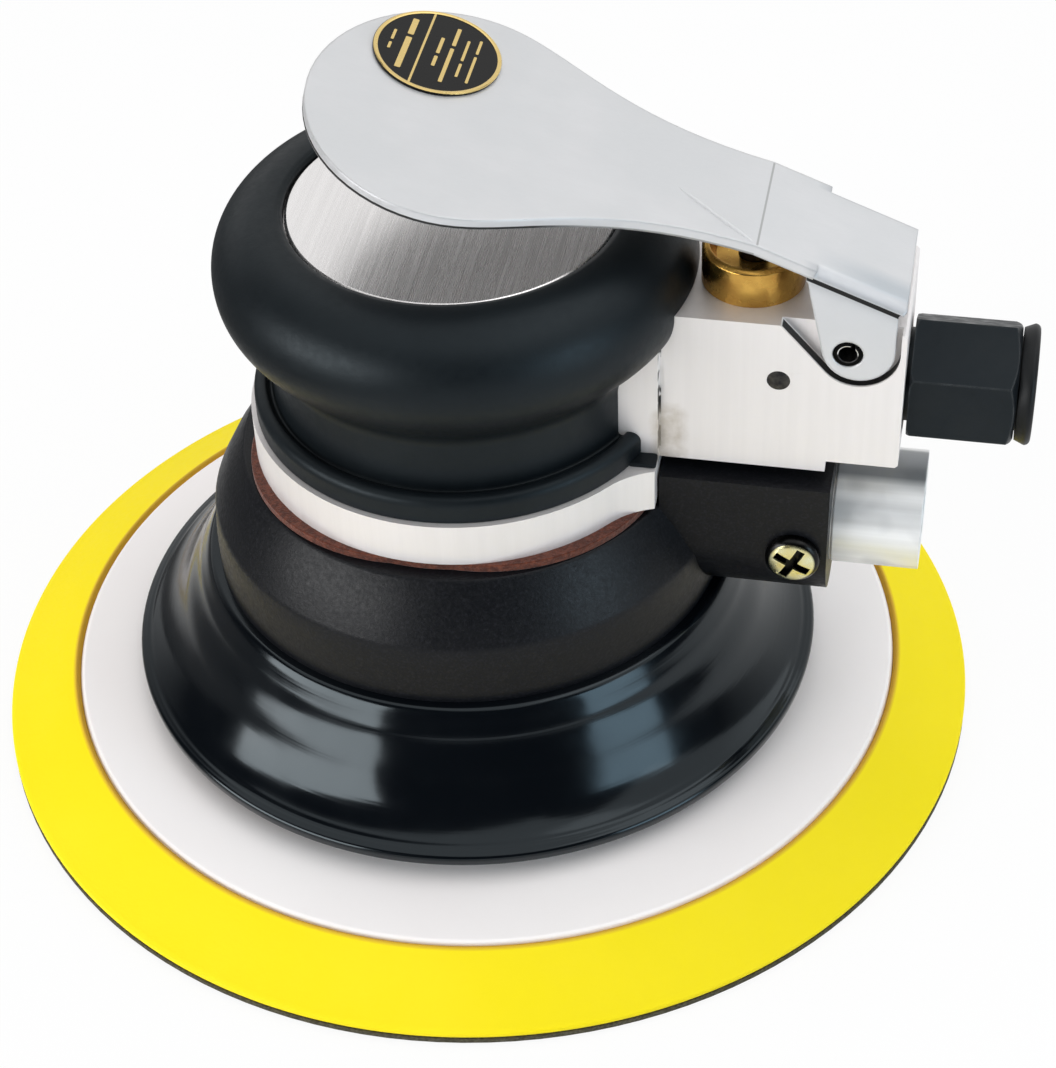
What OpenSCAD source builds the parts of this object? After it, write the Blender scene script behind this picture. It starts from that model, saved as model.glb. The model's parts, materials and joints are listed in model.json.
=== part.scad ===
// Pneumatic random orbital palm sander with a 6 inch pad.
// +Z is up and +X points at the air inlet. The origin is on the motor's axis, at the face of the pad.

/* [Pad] */
// Diameter of the pad's face
pad_d = 150; // [140:1:156]
// Height of the pad, from the hook face to the top of the backing plate
pad_h = 7.4; // [6.8:0.1:9]
// Width of the foam's bevel
foam_bevel = 11.2; // [9:0.1:13]
// Thickness of the hook face
hook_t = 0.8; // [0.6:0.1:1.2]
// Thickness of the backing plate
plate_t = 2.4; // [2:0.1:3]
// Number of dust holes
dust_n = 6; // [5:1:8]
// Diameter of a dust hole
dust_d = 10; // [8:0.5:12]
// Diameter of the circle of dust holes
dust_pcd = 80; // [74:1:90]
// Radius of the pad's threaded stud
stud_r = 3.97; // [3.4:0.01:4.4]
// Length of the stud above its flange
stud_l = 9; // [7:0.5:10]
// Thickness of the stud's flange
stud_flange_t = 1.5; // [1.2:0.1:2]
// Radius of a pad rivet
rivet_r = 1.6; // [1.2:0.1:2]

/* [Orbit] */
// Offset of the pad's spindle from the motor's axis
orbit = 1.19; // [0.8:0.01:2.4]
// Radius of the balancer's cup
cup_r = 18; // [17.5:0.5:20]
// Height of the cup's rim above the pad's face
cup_z = 20; // [19:0.5:21]
// Outer radius of the counterweight
weight_r = 27; // [24:0.5:30]
// Height of the counterweight
weight_h = 11; // [8:0.5:13]
// Spread of the counterweight to each side
weight_angle = 68; // [50:1:80]
// Across flats of the spindle's wrench hexagon
wrench_af = 17; // [15:0.5:19]

/* [Bearings] */
// Spindle bearing: bore radius
spindle_brg_bore = 6; // [5.5:0.1:6.5]
// Spindle bearing: outer radius
spindle_brg_r = 14; // [13:0.5:15]
// Spindle bearing: width
spindle_brg_h = 12; // [11:0.5:13]
// Front bearing: outer radius
front_brg_r = 13; // [12:0.5:13.5]
// Front bearing: width
front_brg_h = 8; // [7:0.5:9]
// Rear bearing: outer radius
rear_brg_r = 11; // [10:0.5:11.5]
// Rear bearing: width
rear_brg_h = 7; // [6:0.5:7]

/* [Air motor] */
// Outer radius of the motor's cylinder
cylinder_r = 22; // [21.5:0.1:22.4]
// Bore radius of the cylinder
cylinder_bore = 17.5; // [17:0.1:18]
// Length of the cylinder
cylinder_h = 15.5; // [14.5:0.5:16.5]
// Radius of the rotor
rotor_r = 15.5; // [14.5:0.1:15.8]
// Thickness of each end plate
end_plate_t = 4; // [3.5:0.1:4.5]
// Radius of the motor shaft at the rotor
shaft_r = 5; // [4.5:0.1:5.5]
// Radius of the motor shaft at the rear bearing
tail_r = 4; // [3.6:0.1:4.2]
// Number of blades
blade_n = 5; // [4:1:6]
// Thickness of a blade
blade_t = 1.5; // [1.2:0.1:2]
// Depth of a blade
blade_w = 6.4; // [5.5:0.1:6.8]

/* [Shroud and skirt] */
// Radius of the skirt's lip
skirt_r = 52.3; // [50:0.1:56]
// Height of the skirt's lip above the pad's face
skirt_z = 10.4; // [9.6:0.1:11]
// Thickness of the skirt's rubber
skirt_t = 1.8; // [1.4:0.1:2.2]
// Radius of the skirt's crease
crease_r = 41.8; // [41:0.1:43]
// Radius of the shroud's barrel
shroud_r = 38.2; // [37.8:0.1:39]
// Height of the shroud's shoulder, where the skirt stops
shoulder_z = 29.2; // [28.6:0.1:30]
// Height of the shroud's top, under the gasket
shroud_top = 47.5; // [47:0.1:48.5]
// Thickness of the shroud's wall
shroud_t = 2.6; // [2.2:0.1:3]
// Thickness of the felt gasket
felt_t = 1.2; // [0.8:0.1:1.4]

/* [Exhaust duct] */
// Drop of the exhaust tube's axis below the shroud's top
duct_drop = 6.8; // [6.5:0.1:7.1]
// Half of the duct's width
duct_w = 12.65; // [12.2:0.05:13.2]
// Rise of the duct's top above the shroud's top
duct_rise = 5.5; // [5:0.1:6.3]
// Distance from the motor's axis to the duct's end
duct_end = 54.5; // [53.5:0.1:56]
// Outer radius of the exhaust tube
tube_r = 8.66; // [8:0.01:9.2]
// Wall of the exhaust tube
tube_t = 1.2; // [0.8:0.1:1.6]
// Distance from the motor's axis to the tube's end
tube_end = 67.3; // [62:0.1:72]
// Radius of the clamp screw's head
clamp_head_r = 3.9; // [3.4:0.1:4.3]
// Radius of the clamp screw's shank
clamp_shank_r = 1.9; // [1.5:0.1:2.2]

/* [Housing and grip] */
// Radius of the housing's band
band_r = 30.8; // [30.4:0.1:31.2]
// Height of the band
band_h = 6.8; // [6.4:0.1:7.2]
// Radius of the grip's waist
waist_r = 27.2; // [26.8:0.1:28]
// Thickness of the rubber at the waist
rubber_t = 2.6; // [2:0.1:3]
// Largest radius of the grip
bulge_r = 33.9; // [33.2:0.1:35]
// Rounding of the grip's shoulder
bulge_round = 9; // [8:0.1:10]
// Height of the grip's top above the shroud's top
grip_h = 40.7; // [40.3:0.1:41.5]
// Radius of the disc in the grip's top
disc_r = 23.1; // [20:0.1:24]
// Thickness of the disc
disc_t = 1.2; // [0.8:0.1:1.6]

/* [Valve block] */
// Half of the neck's width
neck_w = 11.5; // [11:0.1:12]
// Half of the block's width
block_w = 10.4; // [10.2:0.1:10.8]
// Distance from the motor's axis to the block's near end
block_x0 = 30.2; // [29.9:0.1:30.4]
// Distance from the motor's axis to the block's far end
block_x1 = 63.4; // [63.2:0.1:64.5]
// Rise of the block's underside above the shroud's top
block_rise = 7.4; // [7.1:0.1:7.7]
// Height of the block
block_h = 24.6; // [24.3:0.1:25.1]
// Rise of the air inlet's axis above the block's underside
inlet_rise = 10.4; // [10:0.1:11]
// Across corners of the inlet's hexagon
hex_d = 18.6; // [18:0.1:20]
// Length of the inlet's hexagon
hex_l = 14.5; // [13.5:0.5:18]
// Radius of the inlet's female thread
inlet_r = 5.6; // [5:0.1:5.8]
// Usable depth of the female thread
inlet_l = 11; // [10:0.5:11.5]
// Turn of the hexagon where it came tight
hex_turn = -1.5; // [-30:0.5:30]

/* [Valve] */
// Distance from the block's near end to the valve
valve_in = 11.4; // [11.2:0.1:11.7]
// Radius of the bushing's head
bushing_r = 7.1; // [6.8:0.1:7.4]
// Height of the bushing's head above the block
bushing_h = 5.8; // [5:0.1:6]
// Radius of the bushing's shank
bushing_shank_r = 6; // [5.8:0.1:6.1]
// Radius of the valve's stem under the lever
stem_r = 2; // [1.8:0.1:2.2]
// Radius of the valve's head
valve_head_r = 4.2; // [3.8:0.1:4.6]

/* [Lever] */
// Thickness of the lever
lever_t = 1.5; // [1.2:0.1:1.6]
// Rise of the bend in the lever above the block
bend_rise = 12.2; // [11.9:0.1:12.9]
// Distance from the valve to the bend
bend_in = 1.4; // [1.2:0.1:1.8]
// Rise of the palm plate, in degrees
palm_tilt = 14.3; // [13:0.1:15.5]
// Fall of the bracket, in degrees
bracket_tilt = 22.1; // [21.5:0.1:22.6]
// Half of the palm plate's width
palm_w = 23.5; // [20:0.1:26]
// Half of the palm plate's length, where it is rounded
palm_l = 19.9; // [17:0.1:22]
// Half of the lever's width at the bend
bend_w = 9.9; // [9.4:0.1:10.2]
// Lever pin: distance from the block's far end
pin_back = 7.8; // [7.4:0.1:8.1]
// Lever pin: drop below the block's top
pin_drop = 4.15; // [3.9:0.05:4.2]
// Lever pin: radius
pin_r = 2; // [1.8:0.05:2.1]

/* [Hidden] */
$fn = 96;

// Clearances
fit = 0.02;          // between pieces that are pressed or bolted together
slip = 0.08;         // between pieces that slide or turn in each other
run = 0.15;          // at each end of the rotor
free = 0.3;          // between pieces that never touch
eps = 0.01;          // past a face, so that a cut goes through

// Heights that go by the shroud's top, and places that go by the block
duct_z = shroud_top - duct_drop;
duct_top = shroud_top + duct_rise;
grip_top = shroud_top + grip_h;
block_z0 = shroud_top + block_rise;
block_z1 = block_z0 + block_h;
inlet_z = block_z0 + inlet_rise;
valve_x = block_x0 + valve_in;
bend_x = valve_x + bend_in;
bend_z = block_z1 + bend_rise;
pin_x = block_x1 - pin_back;
pin_z = block_z1 - pin_drop;

// Pad stack, upwards from the hook face
pad_r = pad_d / 2;
foam_top_r = pad_r - foam_bevel;
plate_r = foam_top_r - 0.3;
plate_z = pad_h - plate_t;
rivet_n = 4;
rivet_head_r = rivet_r + 0.8;
rivet_head_h = 1;
rivet_pcr = wrench_af / 2 + rivet_head_r + 0.7; // clear of the spindle's hexagon
stud_flange_r = rivet_pcr + rivet_head_r + 0.6;
stud_z = pad_h + stud_flange_t;

// Spindle and cup
cup_lip = 1.2;                                  // rim below the bearing, with the snap ring
spindle_brg_z = cup_z + cup_lip;
spindle_top = spindle_brg_z + spindle_brg_h;
spindle_hex_h = 5;
spindle_neck_r = spindle_brg_bore + 2;
washer_r = spindle_brg_bore + 2.4;
washer_t = 1.2;
screw_r = 2.5;
screw_head_r = 4;
screw_head_h = 2.6;
cup_cavity_top = spindle_top + washer_t + screw_head_h + 1;
cup_top = cup_cavity_top + 3;
weight_z = cup_z + 4;

// Housing levels
band_z = shroud_top + felt_t;
band_top = band_z + band_h;
core_r = waist_r - rubber_t;
core_top = grip_top - 0.7 - disc_t;
bulge_z = grip_top - bulge_round;

// Motor stack, upwards from the front bearing
front_brg_z = shroud_top - 1.5;
front_plate_z = front_brg_z + front_brg_h;
cylinder_z = front_plate_z + end_plate_t;
rear_plate_z = cylinder_z + cylinder_h;
rear_plate_top = rear_plate_z + end_plate_t;
rear_brg_z = rear_plate_z + end_plate_t - 1.6;
rear_brg_top = rear_brg_z + rear_brg_h;
boss_wall = 2.5;
tail_top = rear_brg_top + 1.3;
dome_top = tail_top + free;
bore_r = cylinder_r + fit;
ring_r = band_r - 6.8;                          // lock ring's thread, inside the band
ring_h = 4.5;
seal_gap = 0.2;                                 // rotor to cylinder, at the sealing line
bore_offset = cylinder_bore - rotor_r - seal_gap;
blade_r = rotor_r - 0.2;
blade_root = blade_r - blade_w;
cylinder_pin_r = 1.25;
cylinder_pin_x = -(cylinder_r + cylinder_bore - bore_offset) / 2;
key_w = 3;
key_y = shaft_r - 1.4;
key_l = cylinder_h - 4;
port_r = 2.2;
exhaust_z = cylinder_z + 4;                     // middle of the exhaust groove
exhaust_h = 4;
slot_w = 12;
slot_h = 2.2;

// Shroud
barrel_r = shroud_r - 1.2;                      // the part inside the skirt
barrel_z = shoulder_z - 8;
rim_r = band_r + 2;                             // edge of the land that the gasket lies on
cone_z = shroud_top - 9.2;                      // where the barrel turns into the cone
felt_lobe = band_r + 1.7;
felt_lobe_r = 25;
shroud_thread_l = 4.5;
screw_n = 4;
shroud_screw_r = 1.5;
shroud_screw_pcr = (ring_r + band_r) / 2;
shroud_screw_head_r = 2.7;
shroud_head_h = 2;
flange_t = 2;
flange_x = block_x0;                            // the band's flat end, against the duct

// Duct
spigot_r = tube_r - 0.16;                       // the turned-down end in the duct
tube_seat = duct_end - 8.5;
chamber_r = tube_r + 1.5;
clamp_x = duct_end - 4.75;
clamp_head_h = 2;
clamp_turn = 62;                                // where the screw came tight
port_x0 = valve_x - 6;
port_x1 = valve_x + 1.4;
port_w = 5;

// Valve
bushing_bore = stem_r + 0.4;
seat_z = block_z1 - 12.3;
gallery_z = seat_z + 3;                         // middle of the bushing's groove
retainer_r = 1.6;
gallery_h = 2 * retainer_r + 0.2;
gallery_r = bushing_bore + 1;
chamber_z = seat_z - 7.7;
retainer_x = valve_x + bushing_shank_r - 1.1;
land_r = bushing_bore - slip;
land_z = gallery_z + 2.3;
land_h = 6.5;
ring_minor = 0.6;
stem_ring_z = land_z + 2.6;
valve_head_z = seat_z - 2.6;                    // underside of the stem's head
valve_head_t = 1.5;
stem_neck_r = 1.2;
spring_wire = 0.3;
spring_r = valve_head_r - 0.7;
spring_turns = 3;
palm_under = bend_z + (bend_x - valve_x) * tan(palm_tilt) - lever_t / cos(palm_tilt);
stem_dome_z = palm_under - (stem_r + free) / cos(palm_tilt);
lower_slot_z = block_z0 + 1.3;

// Inlet
hex_x = block_x1 + 0.6;
hex_end = hex_x + hex_l;
shank_r = 6.5;
shank_l = 11;
socket_r = 6.6;                                 // counterbore for the plug
socket_l = 5;
thread_x = hex_end - socket_l - inlet_l;
passage_r = 3.8;
inlet_passage_r = 3.3;
inlet_passage_z = inlet_z - 2;
screen_r = inlet_r - 0.9;                       // the screen lies in its own recess under the thread
screen_t = 0.6;
plug_flange_r = hex_d / 2 - 0.9;
plug_flange_t = 2.2;
plug_x = hex_end + 0.2;

// Lever ears and their pockets
ear_w = 10;                                     // outer face of an ear
ear_t = 1.4;
ear_c = [pin_x + 1.4, pin_z + 0.65];
ear_r = 4.9;
ear_left = 12;                                  // lean of the ear's near edge, in degrees
ear_h = 11.5;                                   // height of that edge above the ear's centre
pocket_r = ear_r + 0.75;
pocket_floor = ear_w - ear_t - 0.2;
pocket_x = valve_x + 4.9;
shoulder_w = ear_w;
shoulder_r = 3;
shoulder_a = 37;                                // how far the shoulder rolls over
fold_l = 8;                                     // from the bend to the shoulders
lever_x1 = pin_x + 7.4;                         // the lever's far end
bracket_l = (lever_x1 - bend_x) / cos(bracket_tilt) + 8;

// ---- helpers ----

function arc(c, r, a0, a1, n = 16) = [for (i = [0:n]) let (a = a0 + (a1 - a0) * i / n) c + r * [cos(a), sin(a)]];
function curve(p, n = 16) = [for (i = [0:n]) let (t = i / n, u = 1 - t)
    u * u * u * p[0] + 3 * u * u * t * p[1] + 3 * u * t * t * p[2] + t * t * t * p[3]];
function backwards(p) = [for (i = [len(p) - 1:-1:0]) p[i]];
function mirrored(p) = [for (q = backwards(p)) [q[0], -q[1]]];

// Extrudes an XZ outline from y0 to y1
module across(y0, y1) translate([0, y1, 0]) rotate([90, 0, 0]) linear_extrude(y1 - y0) children();

// A cylinder along X
module rod_x(r, x0, x1, z, y = 0) translate([x0, y, z]) rotate([0, 90, 0]) cylinder(r = r, h = x1 - x0);

// A cylinder along Y
module rod_y(r, x, z, y0, y1) translate([x, y1, z]) rotate([90, 0, 0]) cylinder(r = r, h = y1 - y0);

// A cylinder along Z
module rod_z(r, z0, z1, x = 0, y = 0) translate([x, y, z0]) cylinder(r = r, h = z1 - z0);

module ring(r0, r1, z0, z1) difference() {
    rod_z(r1, z0, z1);
    rod_z(r0, z0 - eps, z1 + eps);
}

module around(n, start = 0) for (i = [0:n - 1]) rotate(start + i * 360 / n) children();

// ---- bearings ----

function ball_r(bore, r) = (r - bore) * 0.3;
function pitch_r(bore, r) = (r + bore) / 2;

module tracks(bore, r, h, rows) for (i = [0:rows - 1])
    translate([0, 0, h * (i + 0.5) / rows])
        rotate_extrude() translate([pitch_r(bore, r), 0]) circle(r = ball_r(bore, r) * 0.85 + 0.06);

module outer_race(bore, r, h, rows = 1) difference() {
    ring(pitch_r(bore, r) + ball_r(bore, r) * 0.55, r, 0, h);
    tracks(bore, r, h, rows);
}

module inner_race(bore, r, h, rows = 1) difference() {
    ring(bore + fit, pitch_r(bore, r) - ball_r(bore, r) * 0.55, 0, h);
    tracks(bore, r, h, rows);
}

module balls(bore, r, h, rows = 1, n = 9) for (i = [0:rows - 1])
    around(n, i * 180 / n) translate([pitch_r(bore, r), 0, h * (i + 0.5) / rows])
        sphere(r = ball_r(bore, r) * 0.85);

module at_spindle(z = 0) translate([orbit, 0, z]) children();

// ---- housing ----

function core_outline() = concat(
    [[core_r, band_top], [core_r, bulge_z - 13]],
    curve([[core_r, bulge_z - 13], [core_r + 2, bulge_z - 9], [bulge_r - 3.6, bulge_z - 6],
        [bulge_r - 3.5, bulge_z]], 10),
    arc([bulge_r - 10, bulge_z], 6.5, 10, 70, 6),
    [[disc_r + 1.7, core_top]]);

function grip_outline() = concat(
    [[band_r - 0.7, band_top], [band_r - 0.7, band_top + 2.6]],
    curve([[band_r - 0.7, band_top + 2.6], [band_r - 0.7, band_top + 3.6], [waist_r + 2, band_top + 4.2],
        [waist_r + 1.2, band_top + 4.2]], 6),
    [[waist_r + 0.5, band_top + 3.5], [waist_r, band_top + 3.8]],
    curve([[waist_r, bulge_z - 12.7], [waist_r, bulge_z - 8.2], [bulge_r, bulge_z - 7.2], [bulge_r, bulge_z]], 18),
    arc([bulge_r - bulge_round, bulge_z], bulge_round, 5, 99, 16),
    [[disc_r + 0.2, grip_top - 0.3]]);

// The band's flat-ended tongue blends into the round band with concave corners
module band_outline() intersection() {
    union() {
        circle(r = band_r);
        difference() {
            polygon([[0, -tongue_blend_y], [flange_x, -tongue_blend_y], [flange_x, tongue_blend_y],
                [0, tongue_blend_y]]);
            for (s = [-1, 1]) translate([tongue_blend_x, s * (tongue_w + tongue_blend)]) circle(r = tongue_blend);
        }
    }
    translate([-2 * band_r, -band_r]) square([2 * band_r + flange_x, 2 * band_r]);
}
tongue_w = neck_w + 2.6;
tongue_blend = 12;
tongue_blend_x = sqrt(pow(band_r + tongue_blend, 2) - pow(tongue_w + tongue_blend, 2));
tongue_blend_y = (tongue_w + tongue_blend) * band_r / (band_r + tongue_blend);

module block_outline() polygon([
    [block_x0 - 1, block_z0], [block_x1 - 10, block_z0], [block_x1 - 10, block_z0 + 1.85],
    [block_x1 - 0.4, block_z0 + 1.85], [block_x1, block_z0 + 2.25], [block_x1, block_z1 - 0.4],
    [block_x1 - 0.4, block_z1], [block_x0 - 1, block_z1]]);

// Neck and block, which also bound the grip
module neck_and_block() {
    translate([0, -neck_w, band_z]) cube([block_x0, 2 * neck_w, block_z1 - band_z]);
    across(-block_w, block_w) block_outline();
}

// The pocket's near wall is the tangent from its top corner to the round bottom
pocket_reach = norm([pocket_x, block_z1] - ear_c);
pocket_a = atan2(block_z1 - ear_c[1], pocket_x - ear_c[0]) + acos(pocket_r / pocket_reach);
module pocket_outline() polygon(concat(
    [[pocket_x, block_z1 + 1], [pocket_x, block_z1]],
    arc(ear_c, pocket_r, pocket_a, 360),
    [[ear_c[0] + pocket_r, block_z1 + 1]]));

module motor_housing() color("silver") difference() {
    union() {
        rotate_extrude() polygon(concat([[0, band_top]], core_outline(), [[0, core_top]]));
        translate([0, 0, band_z]) linear_extrude(band_h) band_outline();
        neck_and_block();
    }
    // stepped bore for the motor
    rod_z(ring_r, band_z - eps, band_z + ring_h + 1);
    rod_z(bore_r, band_z, rear_plate_top);
    rod_z(rear_brg_r + boss_wall + fit, rear_plate_top - eps, dome_top);
    rod_z(cylinder_pin_r + fit, rear_plate_top - 1, rear_plate_top + 2, cylinder_pin_x);
    // exhaust groove round the cylinder, and the slot that carries it under the valve
    rod_z(bore_r + 1.2, exhaust_z - exhaust_h / 2, exhaust_z + exhaust_h / 2);
    translate([0, -slot_w / 2, exhaust_z - exhaust_h / 2]) cube([block_x0 + 2.5, slot_w, exhaust_h]);
    translate([block_x0 - 1.5, -slot_w / 2, lower_slot_z]) cube([4, slot_w, exhaust_z - lower_slot_z]);
    translate([block_x0 - 1.5, -port_w, lower_slot_z]) cube([port_x1 - block_x0 + 1.5, 2 * port_w, slot_h]);
    translate([port_x0, -port_w, block_z0 - eps]) cube([port_x1 - port_x0, 2 * port_w, slot_h]);
    // valve bore and the air passage to the motor
    rod_z(bushing_shank_r + fit, chamber_z, block_z1 + eps, valve_x);
    rod_x(port_r, bore_r - 1, valve_x, gallery_z);
    rod_y(retainer_r, retainer_x, gallery_z, -block_w - eps, block_w + eps);
    // inlet thread and passage
    rod_x(shank_r + fit, block_x1 - shank_l, block_x1 + eps, inlet_z);
    rod_x(inlet_passage_r, valve_x, block_x1 - shank_l + eps, inlet_passage_z);
    // lever ears
    for (s = [-1, 1]) across(s > 0 ? pocket_floor : -block_w - 1, s > 0 ? block_w + 1 : -pocket_floor)
        pocket_outline();
    rod_y(pin_r, pin_x, pin_z, -block_w - eps, block_w + eps);
    // threads for the shroud's screws
    around(screw_n, 45) rod_z(shroud_screw_r + fit, band_z - eps, band_z + shroud_thread_l, shroud_screw_pcr);
}

module rubber_grip() color("#23262a") difference() {
    union() {
        rotate_extrude() polygon(concat(grip_outline(), [[disc_r + 0.2, core_top]], backwards(core_outline())));
        for (s = [-1, 1]) translate([band_r - 9, s > 0 ? neck_w : -tongue_w, band_top])
            cube([flange_x - band_r + 9, tongue_w - neck_w, 0.7]);
    }
    translate([0, 0, eps]) neck_and_block();
    rod_z(core_r, band_top - eps, band_top + 5);
}

module top_plate() color("gainsboro") rotate_extrude() polygon([
    [0, core_top], [disc_r, core_top], [disc_r, core_top + disc_t - 0.35], [disc_r - 0.35, core_top + disc_t],
    [0, core_top + disc_t]]);

// ---- shroud, gasket and skirt ----

module felt_gasket() color("#7a3326") translate([0, 0, shroud_top]) linear_extrude(felt_t) difference() {
    intersection() {
        union() {
            circle(r = band_r - 0.2);
            around(screw_n, 45) translate([felt_lobe - felt_lobe_r, 0]) circle(r = felt_lobe_r);
        }
        translate([-2 * band_r, -2 * band_r]) square([2 * band_r + flange_x, 4 * band_r]);
    }
    circle(r = ring_r + 0.8);
    around(screw_n, 45) translate([shroud_screw_pcr, 0]) circle(r = shroud_screw_r + 0.1);
}

module duct_outline(grow = 0) {
    translate([0, duct_z]) circle(r = duct_w + grow);
    translate([-duct_w - grow, duct_z]) square([2 * (duct_w + grow), duct_top - duct_z]);
}

module duct_body(grow = 0) translate([flange_x + free, 0, 0]) rotate([90, 0, 90])
    linear_extrude(duct_end - flange_x - free) duct_outline(grow);

module shroud() color("#202124") difference() {
    union() {
        rotate_extrude() polygon([
            [0, barrel_z], [barrel_r, barrel_z], [barrel_r, shoulder_z], [shroud_r, shoulder_z],
            [shroud_r, (shoulder_z + cone_z) / 2], [shroud_r - 0.3, cone_z], [shroud_r - 0.6, cone_z + 0.8],
            [(shroud_r + rim_r) / 2 + 0.1, (cone_z + shroud_top) / 2 + 0.2], [rim_r + 0.2, shroud_top - 0.3],
            [rim_r - 0.2, shroud_top], [0, shroud_top]]);
        duct_body();
        translate([port_x0 - 1.6, -port_w - 1.6, duct_top - 1])
            cube([port_x1 - port_x0 + 3.2, 2 * port_w + 3.2, block_z0 - duct_top + 1]);
    }
    // cavity for the balancer
    rotate_extrude() polygon([
        [0, barrel_z - eps], [shroud_r - shroud_t, barrel_z - eps], [shroud_r - shroud_t, cone_z - 0.8],
        [rim_r - 2.4, shroud_top - flange_t], [0, shroud_top - flange_t]]);
    rod_z(ring_r + 0.8, shroud_top - flange_t - eps, shroud_top + eps);
    around(screw_n, 45) rod_z(shroud_screw_r + 0.1, shroud_top - flange_t - eps, shroud_top + eps, shroud_screw_pcr);
    // the duct's chamber, the seat of the tube, the exhaust port and the clamp screw
    rod_x(chamber_r, shroud_r - shroud_t - 1, tube_seat + eps, duct_z);
    intersection() {
        rod_x(chamber_r, ring_r, shroud_r - shroud_t, duct_z);
        translate([0, -chamber_r, 0]) cube([shroud_r, 2 * chamber_r, shroud_top - flange_t]);
    }
    rod_x(spigot_r + fit, tube_seat, duct_end + eps, duct_z);
    translate([port_x0, -port_w, duct_z]) cube([port_x1 - port_x0, 2 * port_w, block_z0 - duct_z + eps]);
    rod_y(clamp_shank_r + fit, clamp_x, duct_z, -duct_w - eps, -spigot_r + 1);
}

module shroud_screws() color("dimgray") around(screw_n, 45) {
    rod_z(shroud_screw_r, shroud_top - flange_t, band_z + shroud_thread_l - free, shroud_screw_pcr);
    difference() {
        rod_z(shroud_screw_head_r, shroud_top - flange_t - shroud_head_h, shroud_top - flange_t, shroud_screw_pcr);
        cross_recess(shroud_screw_pcr, shroud_top - flange_t - shroud_head_h, shroud_screw_head_r, shroud_head_h);
    }
}

// Cross cut into a screw head, centred on its end at (x, 0, z)
module cross_recess(x, z, head_r, head_h) for (a = [0, 90])
    translate([x, 0, z]) rotate(a) cube([1.4 * head_r, 0.32 * head_r, 1.3 * head_h], center = true);

module skirt() color("#101214") difference() {
    rotate_extrude() polygon(concat(
        [[barrel_r + fit, shoulder_z - 7.5], [barrel_r + fit, shoulder_z - fit], [shroud_r + 0.9, shoulder_z - fit]],
        curve([[shroud_r + 0.9, shoulder_z - fit], [shroud_r + 1.4, shoulder_z - 0.4], [crease_r - 0.5, shoulder_z - 3.5],
            [crease_r, shoulder_z - 4.2]], 5),
        curve([[crease_r, shoulder_z - 4.2], [crease_r + 1.7, skirt_z + 11.4], [skirt_r - 4.6, skirt_z + 6],
            [skirt_r - 1.8, skirt_z + 2.4]], 8),
        arc([skirt_r - 0.7, skirt_z + 0.9], 0.7, 90, 0, 4),
        [[skirt_r, skirt_z], [skirt_r - skirt_t, skirt_z]],
        curve([[skirt_r - 1.8 - skirt_t, skirt_z + 1.8], [skirt_r - 4.8 - skirt_t, skirt_z + 5],
            [crease_r + 1.4 - skirt_t, skirt_z + 10.5], [crease_r - skirt_t, shoulder_z - 5.6]], 8)));
    duct_body(slip);
}

module exhaust_tube() color("silver") difference() {
    union() {
        rod_x(spigot_r, tube_seat, duct_end + free + eps, duct_z);
        rod_x(tube_r, duct_end + free, tube_end, duct_z);
    }
    rod_x(tube_r - tube_t, tube_seat - eps, tube_end + eps, duct_z);
}

module duct_screw() color("#d8c27a") translate([clamp_x, -duct_w, duct_z]) rotate([90, 0, 0]) difference() {
    union() {
        rotate_extrude() polygon(concat([[0, 0], [clamp_head_r, 0], [clamp_head_r, clamp_head_h * 0.3]],
            curve([[clamp_head_r, clamp_head_h * 0.3], [clamp_head_r, clamp_head_h * 0.75],
                [clamp_head_r * 0.75, clamp_head_h], [clamp_head_r * 0.3, clamp_head_h]], 8),
            [[0, clamp_head_h]]));
        rod_z(clamp_shank_r, -(duct_w - spigot_r - slip), 0);
    }
    rotate(clamp_turn) cross_recess(0, clamp_head_h, clamp_head_r, clamp_head_h);
}

// ---- valve ----

module valve_bushing() color("#c9963c") translate([valve_x, 0, 0]) difference() {
    rotate_extrude() polygon([
        [bushing_bore, seat_z], [bushing_shank_r, seat_z], [bushing_shank_r, gallery_z - gallery_h / 2],
        [gallery_r, gallery_z - gallery_h / 2], [gallery_r, gallery_z + gallery_h / 2],
        [bushing_shank_r, gallery_z + gallery_h / 2], [bushing_shank_r, block_z1], [bushing_r, block_z1],
        [bushing_r, block_z1 + bushing_h - 0.5], [bushing_r - 0.5, block_z1 + bushing_h],
        [bushing_r - 1, block_z1 + bushing_h], [bushing_r - 2, block_z1 + bushing_h - 1.8],
        [stem_r + slip, block_z1 + bushing_h - 1.8], [stem_r + slip, land_z + land_h + 1],
        [bushing_bore, land_z + land_h + 1]]);
    for (a = [0, 90]) rotate(a) rod_x(1, -bushing_r, bushing_r, gallery_z);
}

module bushing_pin() color("gray") rod_y(retainer_r - fit, retainer_x, gallery_z, -block_w, block_w);

module valve_stem() color("slategray") translate([valve_x, 0, 0]) rotate_extrude() polygon(concat(
    [[0, valve_head_z], [valve_head_r, valve_head_z], [valve_head_r, valve_head_z + valve_head_t],
    [stem_neck_r, valve_head_z + valve_head_t], [stem_neck_r, land_z], [land_r, land_z], [land_r, stem_ring_z - ring_minor], [land_r - 2 * ring_minor, stem_ring_z - ring_minor],
    [land_r - 2 * ring_minor, stem_ring_z + ring_minor], [land_r, stem_ring_z + ring_minor], [land_r, land_z + land_h],
    [stem_r, land_z + land_h]],
    arc([0, stem_dome_z], stem_r, 0, 90, 8)));

module o_ring(r, minor, z) translate([valve_x, 0, z]) rotate_extrude() translate([r, 0]) circle(r = minor, $fn = 32);

module stem_o_ring() color("black") o_ring(land_r - ring_minor, ring_minor - fit, stem_ring_z);

module valve_o_ring() color("black") o_ring(bushing_bore + 0.7, 0.5, seat_z - 0.58);

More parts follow.
